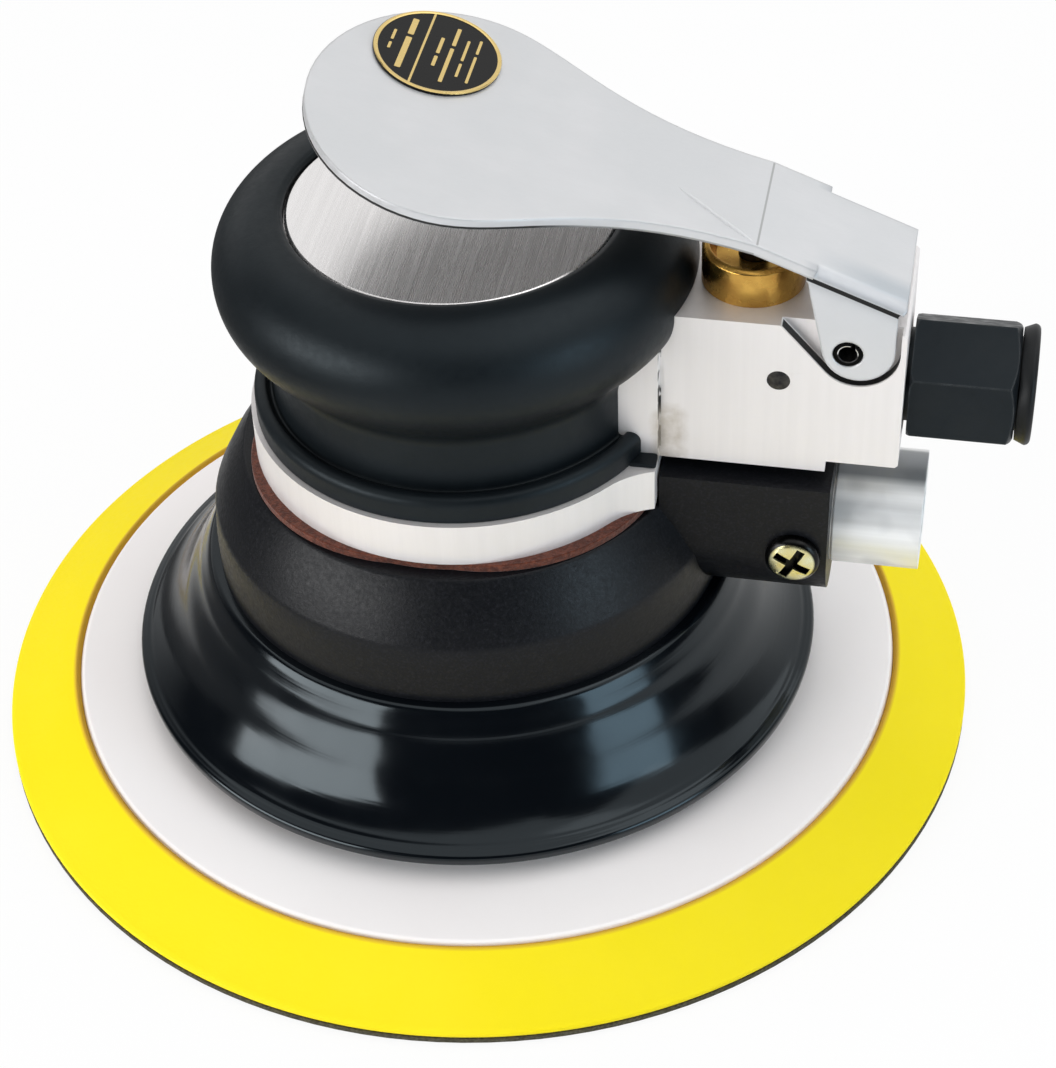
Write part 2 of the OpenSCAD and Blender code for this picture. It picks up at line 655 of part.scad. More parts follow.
// Compression spring: a round wire swept along a helix
spring_z0 = chamber_z + spring_wire;
spring_z1 = valve_head_z - spring_wire;
spring_steps = 14;
spring_sides = 8;
module valve_spring() color("silver") {
    n = spring_turns * spring_steps;
    points = [for (i = [0:n], j = [0:spring_sides - 1])
        let (a = 360 * i / spring_steps, b = 360 * j / spring_sides, r = spring_r + spring_wire * cos(b))
        [valve_x + r * cos(a), r * sin(a), spring_z0 + (spring_z1 - spring_z0) * i / n + spring_wire * sin(b)]];
    sides = [for (i = [0:n - 1], j = [0:spring_sides - 1]) let (k = (j + 1) % spring_sides)
        [i * spring_sides + j, i * spring_sides + k, (i + 1) * spring_sides + k, (i + 1) * spring_sides + j]];
    ends = [[for (j = [spring_sides - 1:-1:0]) j], [for (j = [0:spring_sides - 1]) n * spring_sides + j]];
    polyhedron(points, concat(sides, ends));
}

// ---- air inlet ----

module inlet_bushing() color("#2a2c2f") difference() {
    union() {
        rod_x(shank_r, block_x1 - shank_l + 0.5, hex_x + eps, inlet_z);
        intersection() {
            translate([hex_x, 0, inlet_z]) rotate([hex_turn, 0, 0]) rotate([0, 90, 0]) cylinder(d = hex_d, h = hex_l, $fn = 6);
            translate([hex_x, 0, inlet_z]) rotate([0, 90, 0]) rotate_extrude() polygon([
                [0, 0], [hex_d / 2 - 0.6, 0], [hex_d / 2 + 0.6, 1], [hex_d / 2 + 0.6, hex_l - 1.2],
                [hex_d / 2 - 1.6, hex_l], [0, hex_l]]);
        }
    }
    rod_x(passage_r, block_x1 - shank_l, thread_x + eps, inlet_z);
    rod_x(screen_r + fit, thread_x - screen_t - fit, thread_x + eps, inlet_z);
    rod_x(inlet_r, thread_x, hex_end - socket_l + eps, inlet_z);
    rod_x(socket_r, hex_end - socket_l, hex_end + eps, inlet_z);
}

module inlet_screen() color("gold") difference() {
    rod_x(screen_r, thread_x - screen_t, thread_x - fit, inlet_z);
    for (r = [0, 2.6], i = [0:r == 0 ? 0 : 5]) rod_x(0.9, thread_x - screen_t - eps, thread_x + eps,
        inlet_z + r * sin(60 * i), r * cos(60 * i));
}

module inlet_plug() color("#232527") translate([plug_x, 0, inlet_z]) rotate([0, 90, 0]) rotate_extrude() polygon(concat(
    [[0, 0], [socket_r - slip - 1.5, 0], [socket_r - slip - 1.5, -socket_l + 0.8], [socket_r - slip - 0.4, -socket_l + 0.8],
    [socket_r - slip, -socket_l + 1.3], [socket_r - slip, 0], [plug_flange_r - 0.6, 0]],
    arc([plug_flange_r - 0.8, plug_flange_t - 0.8], 0.8, 0, 90, 6),
    [[0, plug_flange_t]]));

// ---- lever ----

palm_x = 43.35;                                 // from the bend to the palm's widest place
palm_side = curve([[0, bend_w], [-palm_x * 0.57, bend_w - 0.1], [-palm_x * 0.727, palm_w], [-palm_x, palm_w]], 20);
module palm_outline() polygon(concat(
    palm_side,
    [for (i = [1:31]) [-palm_x - palm_l * sin(180 * i / 32), palm_w * cos(180 * i / 32)]],
    mirrored(palm_side)));

// Half of the bracket's section: rolled shoulder, undercut, then the ear
shoulder_c = shoulder_w - shoulder_r * cos(shoulder_a);
function bracket_half() = concat(
    [[shoulder_c - 0.5, 0]],
    arc([shoulder_c, -shoulder_r], shoulder_r, 85, shoulder_a, 8),
    [[ear_w - 0.7, -shoulder_r * (1 - sin(shoulder_a)) - 0.4], [ear_w - 0.7, -shoulder_r * (1 - sin(shoulder_a)) - 0.7],
    [ear_w, -shoulder_r - 0.9], [ear_w, -26], [ear_w - ear_t, -26], [ear_w - ear_t, -shoulder_r - 0.6]],
    arc([shoulder_c, -shoulder_r - 0.4], shoulder_r - ear_t + 0.2, 30, 90, 6));

module ear_outline() polygon(concat(
    arc(ear_c, ear_r, 180 + ear_left, 360),
    [[ear_c[0] + ear_r, ear_c[1] + 5.8], [lever_x1, ear_c[1] + 6.8], [lever_x1, bend_z], [bend_x, bend_z],
    [ear_c[0] - ear_r * cos(ear_left) - ear_h * sin(ear_left), ear_c[1] - ear_r * sin(ear_left) + ear_h * cos(ear_left)]]));

module lever() color("#d5d8dc") difference() {
    union() {
        translate([bend_x, 0, bend_z]) rotate([0, palm_tilt, 0]) translate([0, 0, -lever_t])
            linear_extrude(lever_t) palm_outline();
        translate([bend_x, 0, bend_z]) rotate([0, bracket_tilt, 0]) translate([0, 0, -lever_t])
            linear_extrude(lever_t) polygon([[0, -bend_w], [fold_l + 0.6, -bend_w], [fold_l + 0.6, bend_w], [0, bend_w]]);
        intersection() {
            translate([bend_x, 0, bend_z]) rotate([0, bracket_tilt, 0]) translate([fold_l, 0, 0]) rotate([90, 0, 90])
                linear_extrude(bracket_l) polygon(concat(
                    bracket_half(), [for (p = backwards(bracket_half())) [-p[0], p[1]]]));
            across(-shoulder_w - 1, shoulder_w + 1) ear_outline();
        }
    }
    rod_y(pin_r + slip, pin_x, pin_z, -shoulder_w - 1, shoulder_w + 1);
}

badge_x = -48.3;
badge_y = 11.8;
badge_rx = 8.9;
badge_ry = 9.7;
module badge() color("black") translate([bend_x, 0, bend_z]) rotate([0, palm_tilt, 0]) linear_extrude(0.4)
    polygon([for (i = [0:63]) [badge_x + badge_rx * cos(360 * i / 64), badge_y + badge_ry * sin(360 * i / 64)]]);

// Slotted spring pin
module lever_pin() color("#2c2c2e") difference() {
    rod_y(pin_r - fit, pin_x, pin_z, -ear_w, ear_w);
    rod_y(pin_r - 0.75, pin_x, pin_z, -ear_w - 1, ear_w + 1);
    translate([pin_x, 0, pin_z]) rotate([0, 30, 0]) translate([-0.35, -ear_w - 1, 0]) cube([0.7, 2 * ear_w + 2, pin_r + 1]);
}

// ---- air motor ----

module front_end_plate() color("silver") difference() {
    union() {
        rod_z(cylinder_r, front_plate_z, cylinder_z);
        rod_z(front_brg_r + boss_wall, front_brg_z, front_plate_z + eps);
    }
    rod_z(front_brg_r + fit, front_brg_z - eps, front_plate_z);
    rod_z(shaft_r + 0.6, front_plate_z - eps, cylinder_z + eps);
    rod_z(cylinder_pin_r + fit, front_plate_z + 1, cylinder_z + eps, cylinder_pin_x);
}

module motor_cylinder() color("gray") difference() {
    rod_z(cylinder_r, cylinder_z, rear_plate_z);
    rod_z(cylinder_bore, cylinder_z - eps, rear_plate_z + eps, bore_offset);
    rod_z(cylinder_pin_r + fit, cylinder_z - eps, rear_plate_z + eps, cylinder_pin_x);
    rod_x(port_r, cylinder_bore - 2, cylinder_r + 1, gallery_z);
    for (a = [-70, -90, -110]) rotate(a) rod_x(1.6, cylinder_bore - 3, cylinder_r + 1, exhaust_z);
}

module rear_end_plate() color("silver") difference() {
    union() {
        rod_z(cylinder_r, rear_plate_z, rear_plate_top);
        rod_z(rear_brg_r + boss_wall, rear_plate_top - eps, rear_brg_top);
    }
    rod_z(rear_brg_r + fit, rear_brg_z, rear_brg_top + eps);
    rod_z(tail_r + 0.8, rear_plate_z - eps, rear_brg_z + eps);
    rod_z(cylinder_pin_r + fit, rear_plate_z - eps, rear_plate_top + eps, cylinder_pin_x);
}

module lock_ring() color("dimgray") difference() {
    ring(front_brg_r + boss_wall + free, ring_r - fit, front_plate_z - ring_h, front_plate_z);
    around(4) rod_z(1.5, front_plate_z - ring_h - eps, front_plate_z - ring_h + 2.5, (front_brg_r + boss_wall + ring_r) / 2);
}

module cylinder_pin() color("gray") rod_z(cylinder_pin_r, front_plate_z + 1, rear_plate_top + 2, cylinder_pin_x);

module rotor() color("lightsteelblue") difference() {
    rod_z(rotor_r, cylinder_z + run, rear_plate_z - run);
    rod_z(shaft_r + fit, cylinder_z, rear_plate_z);
    around(blade_n, 18) translate([blade_root - 0.2, -blade_t / 2 - 0.05, cylinder_z])
        cube([rotor_r, blade_t + 0.1, cylinder_h]);
    translate([-key_w / 2, 0, cylinder_z]) cube([key_w, key_y + key_w + fit, cylinder_h]);
}

module rotor_blades() color("#8a5a2b") around(blade_n, 18) translate([blade_root, -blade_t / 2, cylinder_z + run])
    cube([blade_w, blade_t, cylinder_h - 2 * run]);

module rotor_key() color("gray") translate([-key_w / 2 + fit, key_y, (cylinder_z + rear_plate_z - key_l) / 2])
    cube([key_w - 2 * fit, key_w, key_l]);

module shaft_balancer() color("#8d9096") difference() {
    union() {
        // cup round the spindle's bearing
        at_spindle() rod_z(cup_r, cup_z, cup_cavity_top);
        at_spindle(cup_cavity_top) rotate_extrude() polygon([[0, 0], [cup_r, 0], [shaft_r + 4, cup_top - cup_cavity_top], [0, cup_top - cup_cavity_top]]);
        // counterweight opposite the spindle
        translate([0, 0, weight_z]) rotate_extrude(angle = 2 * weight_angle, start = 180 - weight_angle)
            translate([1, 0]) square([weight_r - 1, weight_h]);
        // shaft
        rod_z(shaft_r + 1.6, cup_cavity_top, front_brg_z);
        rod_z(shaft_r, cup_cavity_top, rear_plate_z - run);
        rod_z(tail_r, cup_cavity_top, tail_top);
    }
    at_spindle() {
        rod_z(spindle_brg_r + fit, spindle_brg_z, spindle_top);
        rod_z(spindle_brg_r - 1.2, cup_z - eps, spindle_top);
        rod_z(spindle_brg_r - 2.4, spindle_top - eps, cup_cavity_top);
        rod_z(spindle_brg_r + fit, cup_z - eps, spindle_brg_z + eps);
        ring(spindle_brg_r - 1, spindle_brg_r + 0.9, cup_z + 0.15, cup_z + cup_lip + eps);
    }
    translate([-key_w / 2, key_y, (cylinder_z + rear_plate_z - key_l) / 2 - fit]) cube([key_w, key_w, key_l + 2 * fit]);
    ring(tail_r - 0.6, tail_r + 1, rear_brg_top + 0.05, rear_brg_top + 0.85);
}

// Open ring in a groove
module snap_ring(r0, r1, z0, z1) difference() {
    ring(r0, r1, z0, z1);
    translate([0, -1.5, z0 - 1]) cube([r1 + 1, 3, z1 - z0 + 2]);
}

module tail_snap_ring() color("dimgray") snap_ring(tail_r - 0.55, tail_r + 1.3, rear_brg_top + 0.08, rear_brg_top + 0.82);

module cup_snap_ring() color("dimgray") at_spindle()
    snap_ring(spindle_brg_r - 1.6, spindle_brg_r + 0.8, cup_z + 0.2, cup_z + cup_lip - 0.02);

module front_outer_race() color("silver") translate([0, 0, front_brg_z]) outer_race(shaft_r, front_brg_r, front_brg_h);
module front_balls() color("white") translate([0, 0, front_brg_z]) balls(shaft_r, front_brg_r, front_brg_h);
module front_inner_race() color("silver") translate([0, 0, front_brg_z]) inner_race(shaft_r, front_brg_r, front_brg_h);
module rear_outer_race() color("silver") translate([0, 0, rear_brg_z]) outer_race(tail_r, rear_brg_r, rear_brg_h);
module rear_balls() color("white") translate([0, 0, rear_brg_z]) balls(tail_r, rear_brg_r, rear_brg_h);
module rear_inner_race() color("silver") translate([0, 0, rear_brg_z]) inner_race(tail_r, rear_brg_r, rear_brg_h);
module spindle_outer_race() color("silver") at_spindle(spindle_brg_z)
    outer_race(spindle_brg_bore, spindle_brg_r, spindle_brg_h, 2);
module spindle_balls() color("white") at_spindle(spindle_brg_z) balls(spindle_brg_bore, spindle_brg_r, spindle_brg_h, 2);
module spindle_inner_race() color("silver") at_spindle(spindle_brg_z)
    inner_race(spindle_brg_bore, spindle_brg_r, spindle_brg_h, 2);

// ---- spindle and pad ----

module spindle() color("#9a9da3") at_spindle() difference() {
    union() {
        translate([0, 0, stud_z]) cylinder(d = wrench_af / cos(30), h = spindle_hex_h, $fn = 6);
        rod_z(spindle_neck_r, stud_z, spindle_brg_z);
        rod_z(spindle_brg_bore, stud_z, spindle_top - 0.1);
    }
    rod_z(stud_r + fit, stud_z - eps, stud_z + stud_l + 1);
    rod_z(screw_r + fit, spindle_top - 11, spindle_top + eps);
}

module spindle_washer() color("gray") at_spindle() ring(screw_r + 0.2, washer_r, spindle_top, spindle_top + washer_t);

module spindle_screw() color("dimgray") at_spindle() difference() {
    union() {
        rod_z(screw_r, spindle_top - 10, spindle_top + washer_t);
        rod_z(screw_head_r, spindle_top + washer_t, spindle_top + washer_t + screw_head_h);
    }
    translate([0, 0, spindle_top + washer_t + 1]) cylinder(r = 2.2, h = screw_head_h, $fn = 6);
}

module pad_stud() color("gray") at_spindle() difference() {
    union() {
        rod_z(stud_flange_r, pad_h, stud_z);
        rod_z(stud_r, pad_h, stud_z + stud_l);
    }
    around(rivet_n, 45) rod_z(rivet_r + fit, pad_h - eps, stud_z + eps, rivet_pcr);
}

module pad_rivets() color("silver") at_spindle() around(rivet_n, 45) {
    rod_z(rivet_r, plate_z + rivet_head_h, stud_z, rivet_pcr);
    rod_z(rivet_head_r, stud_z, stud_z + rivet_head_h, rivet_pcr);
    rod_z(rivet_head_r, plate_z, plate_z + rivet_head_h, rivet_pcr);
}

module dust_holes(z0, z1) around(dust_n) rod_z(dust_d / 2, z0, z1, dust_pcd / 2);

module backing_plate() color("#f3eeea") at_spindle() difference() {
    rotate_extrude() polygon([[0, plate_z], [plate_r, plate_z], [plate_r, pad_h - 0.5], [plate_r - 0.5, pad_h],
        [0, pad_h]]);
    dust_holes(plate_z - eps, pad_h + eps);
    around(rivet_n, 45) {
        rod_z(rivet_r + fit, plate_z - eps, pad_h + eps, rivet_pcr);
        rod_z(rivet_head_r + fit, plate_z - eps, plate_z + rivet_head_h, rivet_pcr);
    }
}

module pad_foam() color("#f7e614") at_spindle() difference() {
    rotate_extrude() polygon([[0, hook_t], [pad_r, hook_t], [foam_top_r, pad_h], [plate_r + fit, pad_h],
        [plate_r + fit, plate_z], [0, plate_z]]);
    dust_holes(hook_t - eps, plate_z + eps);
}

module hook_face() color("#3a3a30") at_spindle() difference() {
    rod_z(pad_r, 0, hook_t);
    dust_holes(-eps, hook_t + eps);
}

motor_housing();
rubber_grip();
top_plate();
felt_gasket();
shroud();
shroud_screws();
skirt();
exhaust_tube();
duct_screw();
valve_bushing();
bushing_pin();
inlet_bushing();
inlet_screen();
inlet_plug();
lever();
badge();
lever_pin();
valve_stem();
stem_o_ring();
valve_o_ring();
valve_spring();
front_end_plate();
motor_cylinder();
rear_end_plate();
lock_ring();
cylinder_pin();
rotor();
rotor_blades();
rotor_key();
shaft_balancer();
tail_snap_ring();
cup_snap_ring();
front_outer_race();
front_balls();
front_inner_race();
rear_outer_race();
rear_balls();
rear_inner_race();
spindle_outer_race();
spindle_balls();
spindle_inner_race();
spindle();
spindle_washer();
spindle_screw();
pad_stud();
pad_rivets();
backing_plate();
pad_foam();
hook_face();
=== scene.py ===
import json
import math

import bmesh
import bpy
from mathutils import Matrix, Vector


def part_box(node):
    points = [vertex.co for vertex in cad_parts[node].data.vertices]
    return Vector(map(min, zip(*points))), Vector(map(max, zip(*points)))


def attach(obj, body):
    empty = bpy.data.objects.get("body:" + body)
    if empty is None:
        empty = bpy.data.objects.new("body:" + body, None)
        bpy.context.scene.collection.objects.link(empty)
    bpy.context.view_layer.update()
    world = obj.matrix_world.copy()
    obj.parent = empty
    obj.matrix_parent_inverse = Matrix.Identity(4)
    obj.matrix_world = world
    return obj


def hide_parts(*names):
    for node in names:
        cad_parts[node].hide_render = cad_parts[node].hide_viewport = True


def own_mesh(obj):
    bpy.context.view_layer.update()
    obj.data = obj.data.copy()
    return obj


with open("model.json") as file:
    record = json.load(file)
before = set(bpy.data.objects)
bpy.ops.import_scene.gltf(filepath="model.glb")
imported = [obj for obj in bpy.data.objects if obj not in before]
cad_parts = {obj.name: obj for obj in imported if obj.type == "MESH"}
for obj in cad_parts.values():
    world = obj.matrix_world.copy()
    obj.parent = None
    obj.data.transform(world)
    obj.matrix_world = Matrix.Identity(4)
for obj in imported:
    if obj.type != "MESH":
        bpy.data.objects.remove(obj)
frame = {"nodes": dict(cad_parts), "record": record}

MM = 0.001
NODES = frame["nodes"]
SLOT_OF = {s["node"]: s["material_slot"] for s in frame["record"]["subparts"]}
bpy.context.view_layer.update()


def span(node):
    """A CAD node's lowest and highest corner, in millimetres."""
    low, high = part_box(node)
    return Vector(low) / MM, Vector(high) / MM


def middle(node):
    """The middle of a CAD node's box, in millimetres."""
    low, high = span(node)
    return tuple((a + b) / 2 for a, b in zip(low, high))


def half_width(node):
    """Half a CAD node's width along X, in millimetres: the radius of a round one."""
    low, high = span(node)
    return (high.x - low.x) / 2


# ---------------------------------------------------------------- sizes in millimetres that no box gives

# The lever's palm plate rises from its bend, which lies at this x and z, and its bracket falls from it.
BEND = (43.0, 91.7)
PALM_TILT = math.radians(14.3)
BRACKET_TILT = math.radians(22.1)

# The housing's neck runs out to the valve block, whose top lies a little below the brass bushing's.
NECK_SIDE, NECK_END = 11.5, 30.2
BLOCK_SIDE = 10.4
BLOCK_TOP = span("valve_bushing")[1].z - 5.8

# ---------------------------------------------------------------- what the materials share


def grey(v):
    return (v, v, v)


class Shader:
    """A Principled material and the few node shapes that the finishes share."""

    def __init__(self, name, color, roughness=0.5, metallic=0.0, specular=0.5):
        self.material = bpy.data.materials.new(name)
        self.material.use_nodes = True
        self.tree = self.material.node_tree
        self.bsdf = self.tree.nodes["Principled BSDF"]
        self.bsdf.inputs["Base Color"].default_value = (*color, 1)
        self.bsdf.inputs["Roughness"].default_value = roughness
        self.bsdf.inputs["Metallic"].default_value = metallic
        self.bsdf.inputs["Specular IOR Level"].default_value = specular
        self.color = color
        self.normal = None
        self.coord = self.node("ShaderNodeTexCoord").outputs["Object"]

    def node(self, kind, **settings):
        made = self.tree.nodes.new(kind)
        for key, value in settings.items():
            if key in made.inputs:
                made.inputs[key].default_value = value
            else:
                setattr(made, key, value)
        return made

    def link(self, a, b):
        self.tree.links.new(a, b)

    # Patterns and masks

    def stretched(self, stretch):
        """Object coordinates, scaled: a large factor packs the pattern along that axis."""
        mapping = self.node("ShaderNodeMapping", Scale=stretch)
        self.link(self.coord, mapping.inputs["Vector"])
        return mapping.outputs["Vector"]

    def noise(self, scale, detail=3.0, roughness=0.55, vector=None):
        made = self.node("ShaderNodeTexNoise", Scale=scale, Detail=detail, Roughness=roughness)
        self.link(vector or self.coord, made.inputs["Vector"])
        return made.outputs["Fac"]

    def ranged(self, value, low, high, start=0.3, end=0.7):
        """Maps a value to low..high between start and end."""
        made = self.node("ShaderNodeMapRange")
        for key, number in zip(("From Min", "From Max", "To Min", "To Max"), (start, end, low, high)):
            made.inputs[key].default_value = number
        self.link(value, made.inputs["Value"])
        return made.outputs["Result"]

    def math(self, operation, a, b=None):
        made = self.node("ShaderNodeMath", operation=operation)
        for socket, value in zip(made.inputs, (a, b)):
            if isinstance(value, (int, float)):
                socket.default_value = value
            elif value is not None:
                self.link(value, socket)
        return made.outputs["Value"]

    def axis(self, name, size=False):
        """One object coordinate in millimetres, or its size without the sign."""
        split = self.node("ShaderNodeSeparateXYZ")
        self.link(self.coord, split.inputs["Vector"])
        value = self.math("MULTIPLY", split.outputs[name], 1 / MM)
        return self.math("ABSOLUTE", value) if size else value

    def distance(self, axes="XY", centre=(0, 0)):
        """Distance in millimetres from a line that crosses the plane of two axes at a centre."""
        squares = []
        for name, at in zip(axes, centre):
            offset = self.math("SUBTRACT", self.axis(name), at)
            squares.append(self.math("MULTIPLY", offset, offset))
        return self.math("SQRT", self.math("ADD", *squares))

    def within(self, value, low, high, soft=0.1):
        """1 where a value lies between low and high, 0 elsewhere, with soft flanks."""
        return self.math("MULTIPLY", self.ranged(value, 0, 1, low - soft, low),
                         self.ranged(value, 1, 0, high, high + soft))

    def all_of(self, *masks):
        product = masks[0]
        for mask in masks[1:]:
            product = self.math("MULTIPLY", product, mask)
        return product

    def edges(self, width_mm):
        """1 along edges and 0 on open faces, from how far a rounded normal leans from the true one."""
        rounded = self.node("ShaderNodeBevel", samples=4, Radius=width_mm * MM)
        dot = self.node("ShaderNodeVectorMath", operation="DOT_PRODUCT")
        self.link(rounded.outputs["Normal"], dot.inputs[0])
        self.link(self.node("ShaderNodeNewGeometry").outputs["True Normal"], dot.inputs[1])
        return self.ranged(dot.outputs["Value"], 1, 0, 0.75, 0.995)

    # What they change

    def tint(self, value, other, start=0.35, end=0.65):
        """Blends the base colour towards another by a pattern, over whatever colour is there."""
        mix = self.node("ShaderNodeMix", data_type="RGBA")
        socket = self.bsdf.inputs["Base Color"]
        if socket.is_linked:
            self.link(socket.links[0].from_socket, mix.inputs[6])
        else:
            mix.inputs[6].default_value = (*self.color, 1)
        mix.inputs[7].default_value = (*other, 1)
        self.link(self.ranged(value, 0, 1, start, end), mix.inputs[0])
        self.link(mix.outputs[2], socket)
        return self

    def mark(self, color, *masks):
        """Paints the place where all the masks overlap."""
        return self.tint(self.all_of(*masks), color, 0, 1)

    def wear_and_highlight(self, color, width_mm, amount):
        """Another colour along the edges, broken up by noise: wear, and a painted highlight where it is
        lighter.
        """
        patches = self.ranged(self.noise(420, 2), 0.15 * amount, amount)
        return self.mark(color, self.edges(width_mm), patches)

    def cool(self):
        """Gives the reflections on a black piece the photograph's blue cast."""
        self.bsdf.inputs["Specular Tint"].default_value = (0.80, 0.93, 1.0, 1)
        return self

    def rough(self, value, low, high):
        self.link(self.ranged(value, low, high), self.bsdf.inputs["Roughness"])
        return self

    def rounded(self, width_mm):
        """Shades as if every edge had this rounding; bumps come after it."""
        self.normal = self.node("ShaderNodeBevel", samples=6, Radius=width_mm * MM).outputs["Normal"]
        return self

    def bump(self, value, depth_mm):
        made = self.node("ShaderNodeBump", Strength=1.0, Distance=depth_mm * MM)
        self.link(value, made.inputs["Height"])
        if self.normal:
            self.link(self.normal, made.inputs["Normal"])
        self.normal = made.outputs["Normal"]
        self.link(self.normal, self.bsdf.inputs["Normal"])
        return self


def brushed(name, color, stretch, roughness, depth, metallic=1.0, contrast=0.9, edge=None):
    """Metal with fine scratches and broader streaks, along the axis that has the smallest stretch."""
    s = Shader(name, color, roughness, metallic)
    if edge:
        s.rounded(edge)
    broader = 0.18
    lines = s.noise(1.0, 4, 0.6, s.stretched(stretch))
    streaks = s.noise(1.0, 2, 0.5, s.stretched(tuple(v * broader for v in stretch)))
    s.tint(streaks, tuple(c * contrast for c in color))
    s.rough(lines, roughness - 0.06, roughness + 0.12)
    return s.bump(lines, depth)


# ---------------------------------------------------------------- materials, each named by its slot


def lever_metal():
    """Satin sheet with a line at the bend, and grey painted shade beneath it, along its lower edge, on a band
    at the near side of the bracket, on the shoulder rolls and in the groove over the ears.
    """
    s = brushed("lever satin aluminium", (0.69, 0.69, 0.70), (900, 2600, 900),
                roughness=0.36, depth=0.0025, metallic=0.45, contrast=0.98, edge=0.55)
    s.tint(s.noise(90, 2), (0.655, 0.66, 0.67))
    x = s.math("SUBTRACT", s.axis("X"), BEND[0])
    z = s.math("SUBTRACT", s.axis("Z"), BEND[1])
    side = s.axis("Y", size=True)
    near = s.math("MULTIPLY", s.axis("Y"), -1)

    def above(tilt):
        """Height above the plane that leaves the bend at a tilt."""
        return s.math("ADD", s.math("MULTIPLY", x, math.sin(tilt)), s.math("MULTIPLY", z, math.cos(tilt)))

    palm, bracket = above(PALM_TILT), above(BRACKET_TILT)
    # Painted shade: grey beneath the palm plate.
    shade_beneath = s.within(palm, -3, -1.25, 0.1), s.within(x, -70, -0.5)
    bend_line = s.within(x, -0.16, 0.06, 0.05), s.within(side, 0, 9.6)
    # Painted shade: a dark line along the lower part of the palm plate's edge.
    lower_edge_shade = s.within(palm, -1.40, -1.12, 0.05), s.within(x, -66, -28, 6)
    # Painted shade: a blue-grey band on the near side of the bracket, next to the shoulder roll.
    near_band_shade = s.within(near, 6.2, 8.2, 2.6), s.within(x, 16, 30, 9), s.within(bracket, -1, 1, 0.3)
    # Painted shade on the shoulder rolls, dimming their highlight.
    shoulder_shade = s.within(side, 8.7, 11, 0.5), s.within(x, 8, 30, 2), s.within(bracket, -0.85, 1, 0.25)
    # Painted shade in the groove over the ears.
    undercut_shade = s.within(side, 9.0, 9.82, 0.06), s.within(bracket, -2.25, -1.3, 0.06), s.within(x, 6, 30)
    s.mark(grey(0.42), *shade_beneath)
    s.mark(grey(0.42), *bend_line)
    s.mark(grey(0.03), *lower_edge_shade)
    s.mark((0.50, 0.53, 0.56), *near_band_shade)
    s.mark((0.52, 0.53, 0.55), *shoulder_shade)
    return s.mark(grey(0.015), *undercut_shade)


def cast_aluminium():
    """The housing: upright milling marks, a painted shadow broken along the seam's step, a cast patch, and
    painted shade on the walls of the pockets for the ears.
    """
    s = brushed("machined aluminium", (0.88, 0.845, 0.835), (5200, 5200, 150),
                roughness=0.42, depth=0.003, metallic=0.5, contrast=0.975)
    x, z, side = s.axis("X"), s.axis("Z"), s.axis("Y", size=True)
    seam_x, seam_low = NECK_END + 0.1, 55.0
    on_side = s.within(side, BLOCK_SIDE - 0.3, BLOCK_SIDE + 1.4)
    broken = s.ranged(s.noise(330, 2), 0, 1, 0.44, 0.5)
    # Painted shadow: a broken dark line along the step at the seam.
    s.mark(grey(0.03), s.within(x, seam_x - 0.12, seam_x + 0.12, 0.06), s.within(z, seam_low, BLOCK_TOP),
           on_side, broken)
    patch = s.all_of(s.within(x, seam_x, seam_x + 2.6, 2.2), s.within(z, seam_low, seam_low + 8, 2.5),
                     on_side, s.noise(380, 4))
    s.tint(patch, (0.52, 0.46, 0.39), 0.15, 0.8)
    pocket_floor, pocket_start, pocket_end, pocket_low = 8.6, 46.3, 63.1, 69
    # Painted shade on the walls of the ears' pockets.
    return s.mark(grey(0.012), s.within(side, pocket_floor, BLOCK_SIDE - 0.35, 0.12),
                  s.within(x, pocket_start, pocket_end), s.within(z, pocket_low, BLOCK_TOP - 0.25))


def brushed_aluminium():
    return brushed("brushed disc", (0.92, 0.90, 0.895), (5200, 40, 5200),
                   roughness=0.24, depth=0.007, contrast=0.91)


def tube_aluminium():
    """Drawn tube, duller in patches, with a painted dark reflection along its crest."""
    s = brushed("drawn tube", (0.92, 0.925, 0.925), (90, 4200, 4200),
                roughness=0.34, depth=0.004, metallic=0.42)
    s.tint(s.noise(95, 2), (0.60, 0.61, 0.62), 0.55, 0.72)
    # Painted reflection: a dark band along the crest, mirroring the block above.
    crest = span("exhaust_tube")[1].z
    return s.mark((0.33, 0.345, 0.36), s.within(s.axis("Y", size=True), -1, 3.0, 1.1),
                  s.within(s.axis("Z"), crest - 2, crest + 1, 0.5))


def grip_rubber():
    s = Shader("grip rubber", (0.0035, 0.0052, 0.0068), 0.42, specular=0.24).cool()
    s.tint(s.noise(60, 3), (0.0055, 0.0078, 0.0098))
    s.rough(s.noise(900, 3), 0.38, 0.48)
    s.bump(s.noise(45, 2), 0.05)
    return s.bump(s.noise(2600, 2), 0.012)


def skirt_rubber():
    """Glossy rubber with faint rings, from a noise that goes by radius and height alone."""
    s = Shader("skirt rubber", (0.0014, 0.0022, 0.0036), 0.15, specular=0.40).cool()
    turned = s.node("ShaderNodeCombineXYZ")
    rings_per_mm = 1.6
    s.link(s.math("MULTIPLY", s.distance(), rings_per_mm), turned.inputs["X"])
    s.link(s.math("MULTIPLY", s.axis("Z"), rings_per_mm), turned.inputs["Y"])
    s.rough(s.noise(120, 3), 0.11, 0.19)
    s.bump(s.noise(90, 3), 0.03)
    return s.bump(s.noise(1.0, 3, 0.6, turned.outputs["Vector"]), 0.010)


def shroud_plastic():
    s = Shader("shroud plastic", (0.0042, 0.0048, 0.0064), 0.40, specular=0.2)
    s.rough(s.noise(1500, 2), 0.33, 0.46)
    s.tint(s.noise(2400, 2), (0.0095, 0.010, 0.013), 0.5, 0.7)
    return s.bump(s.noise(2200, 3), 0.03)


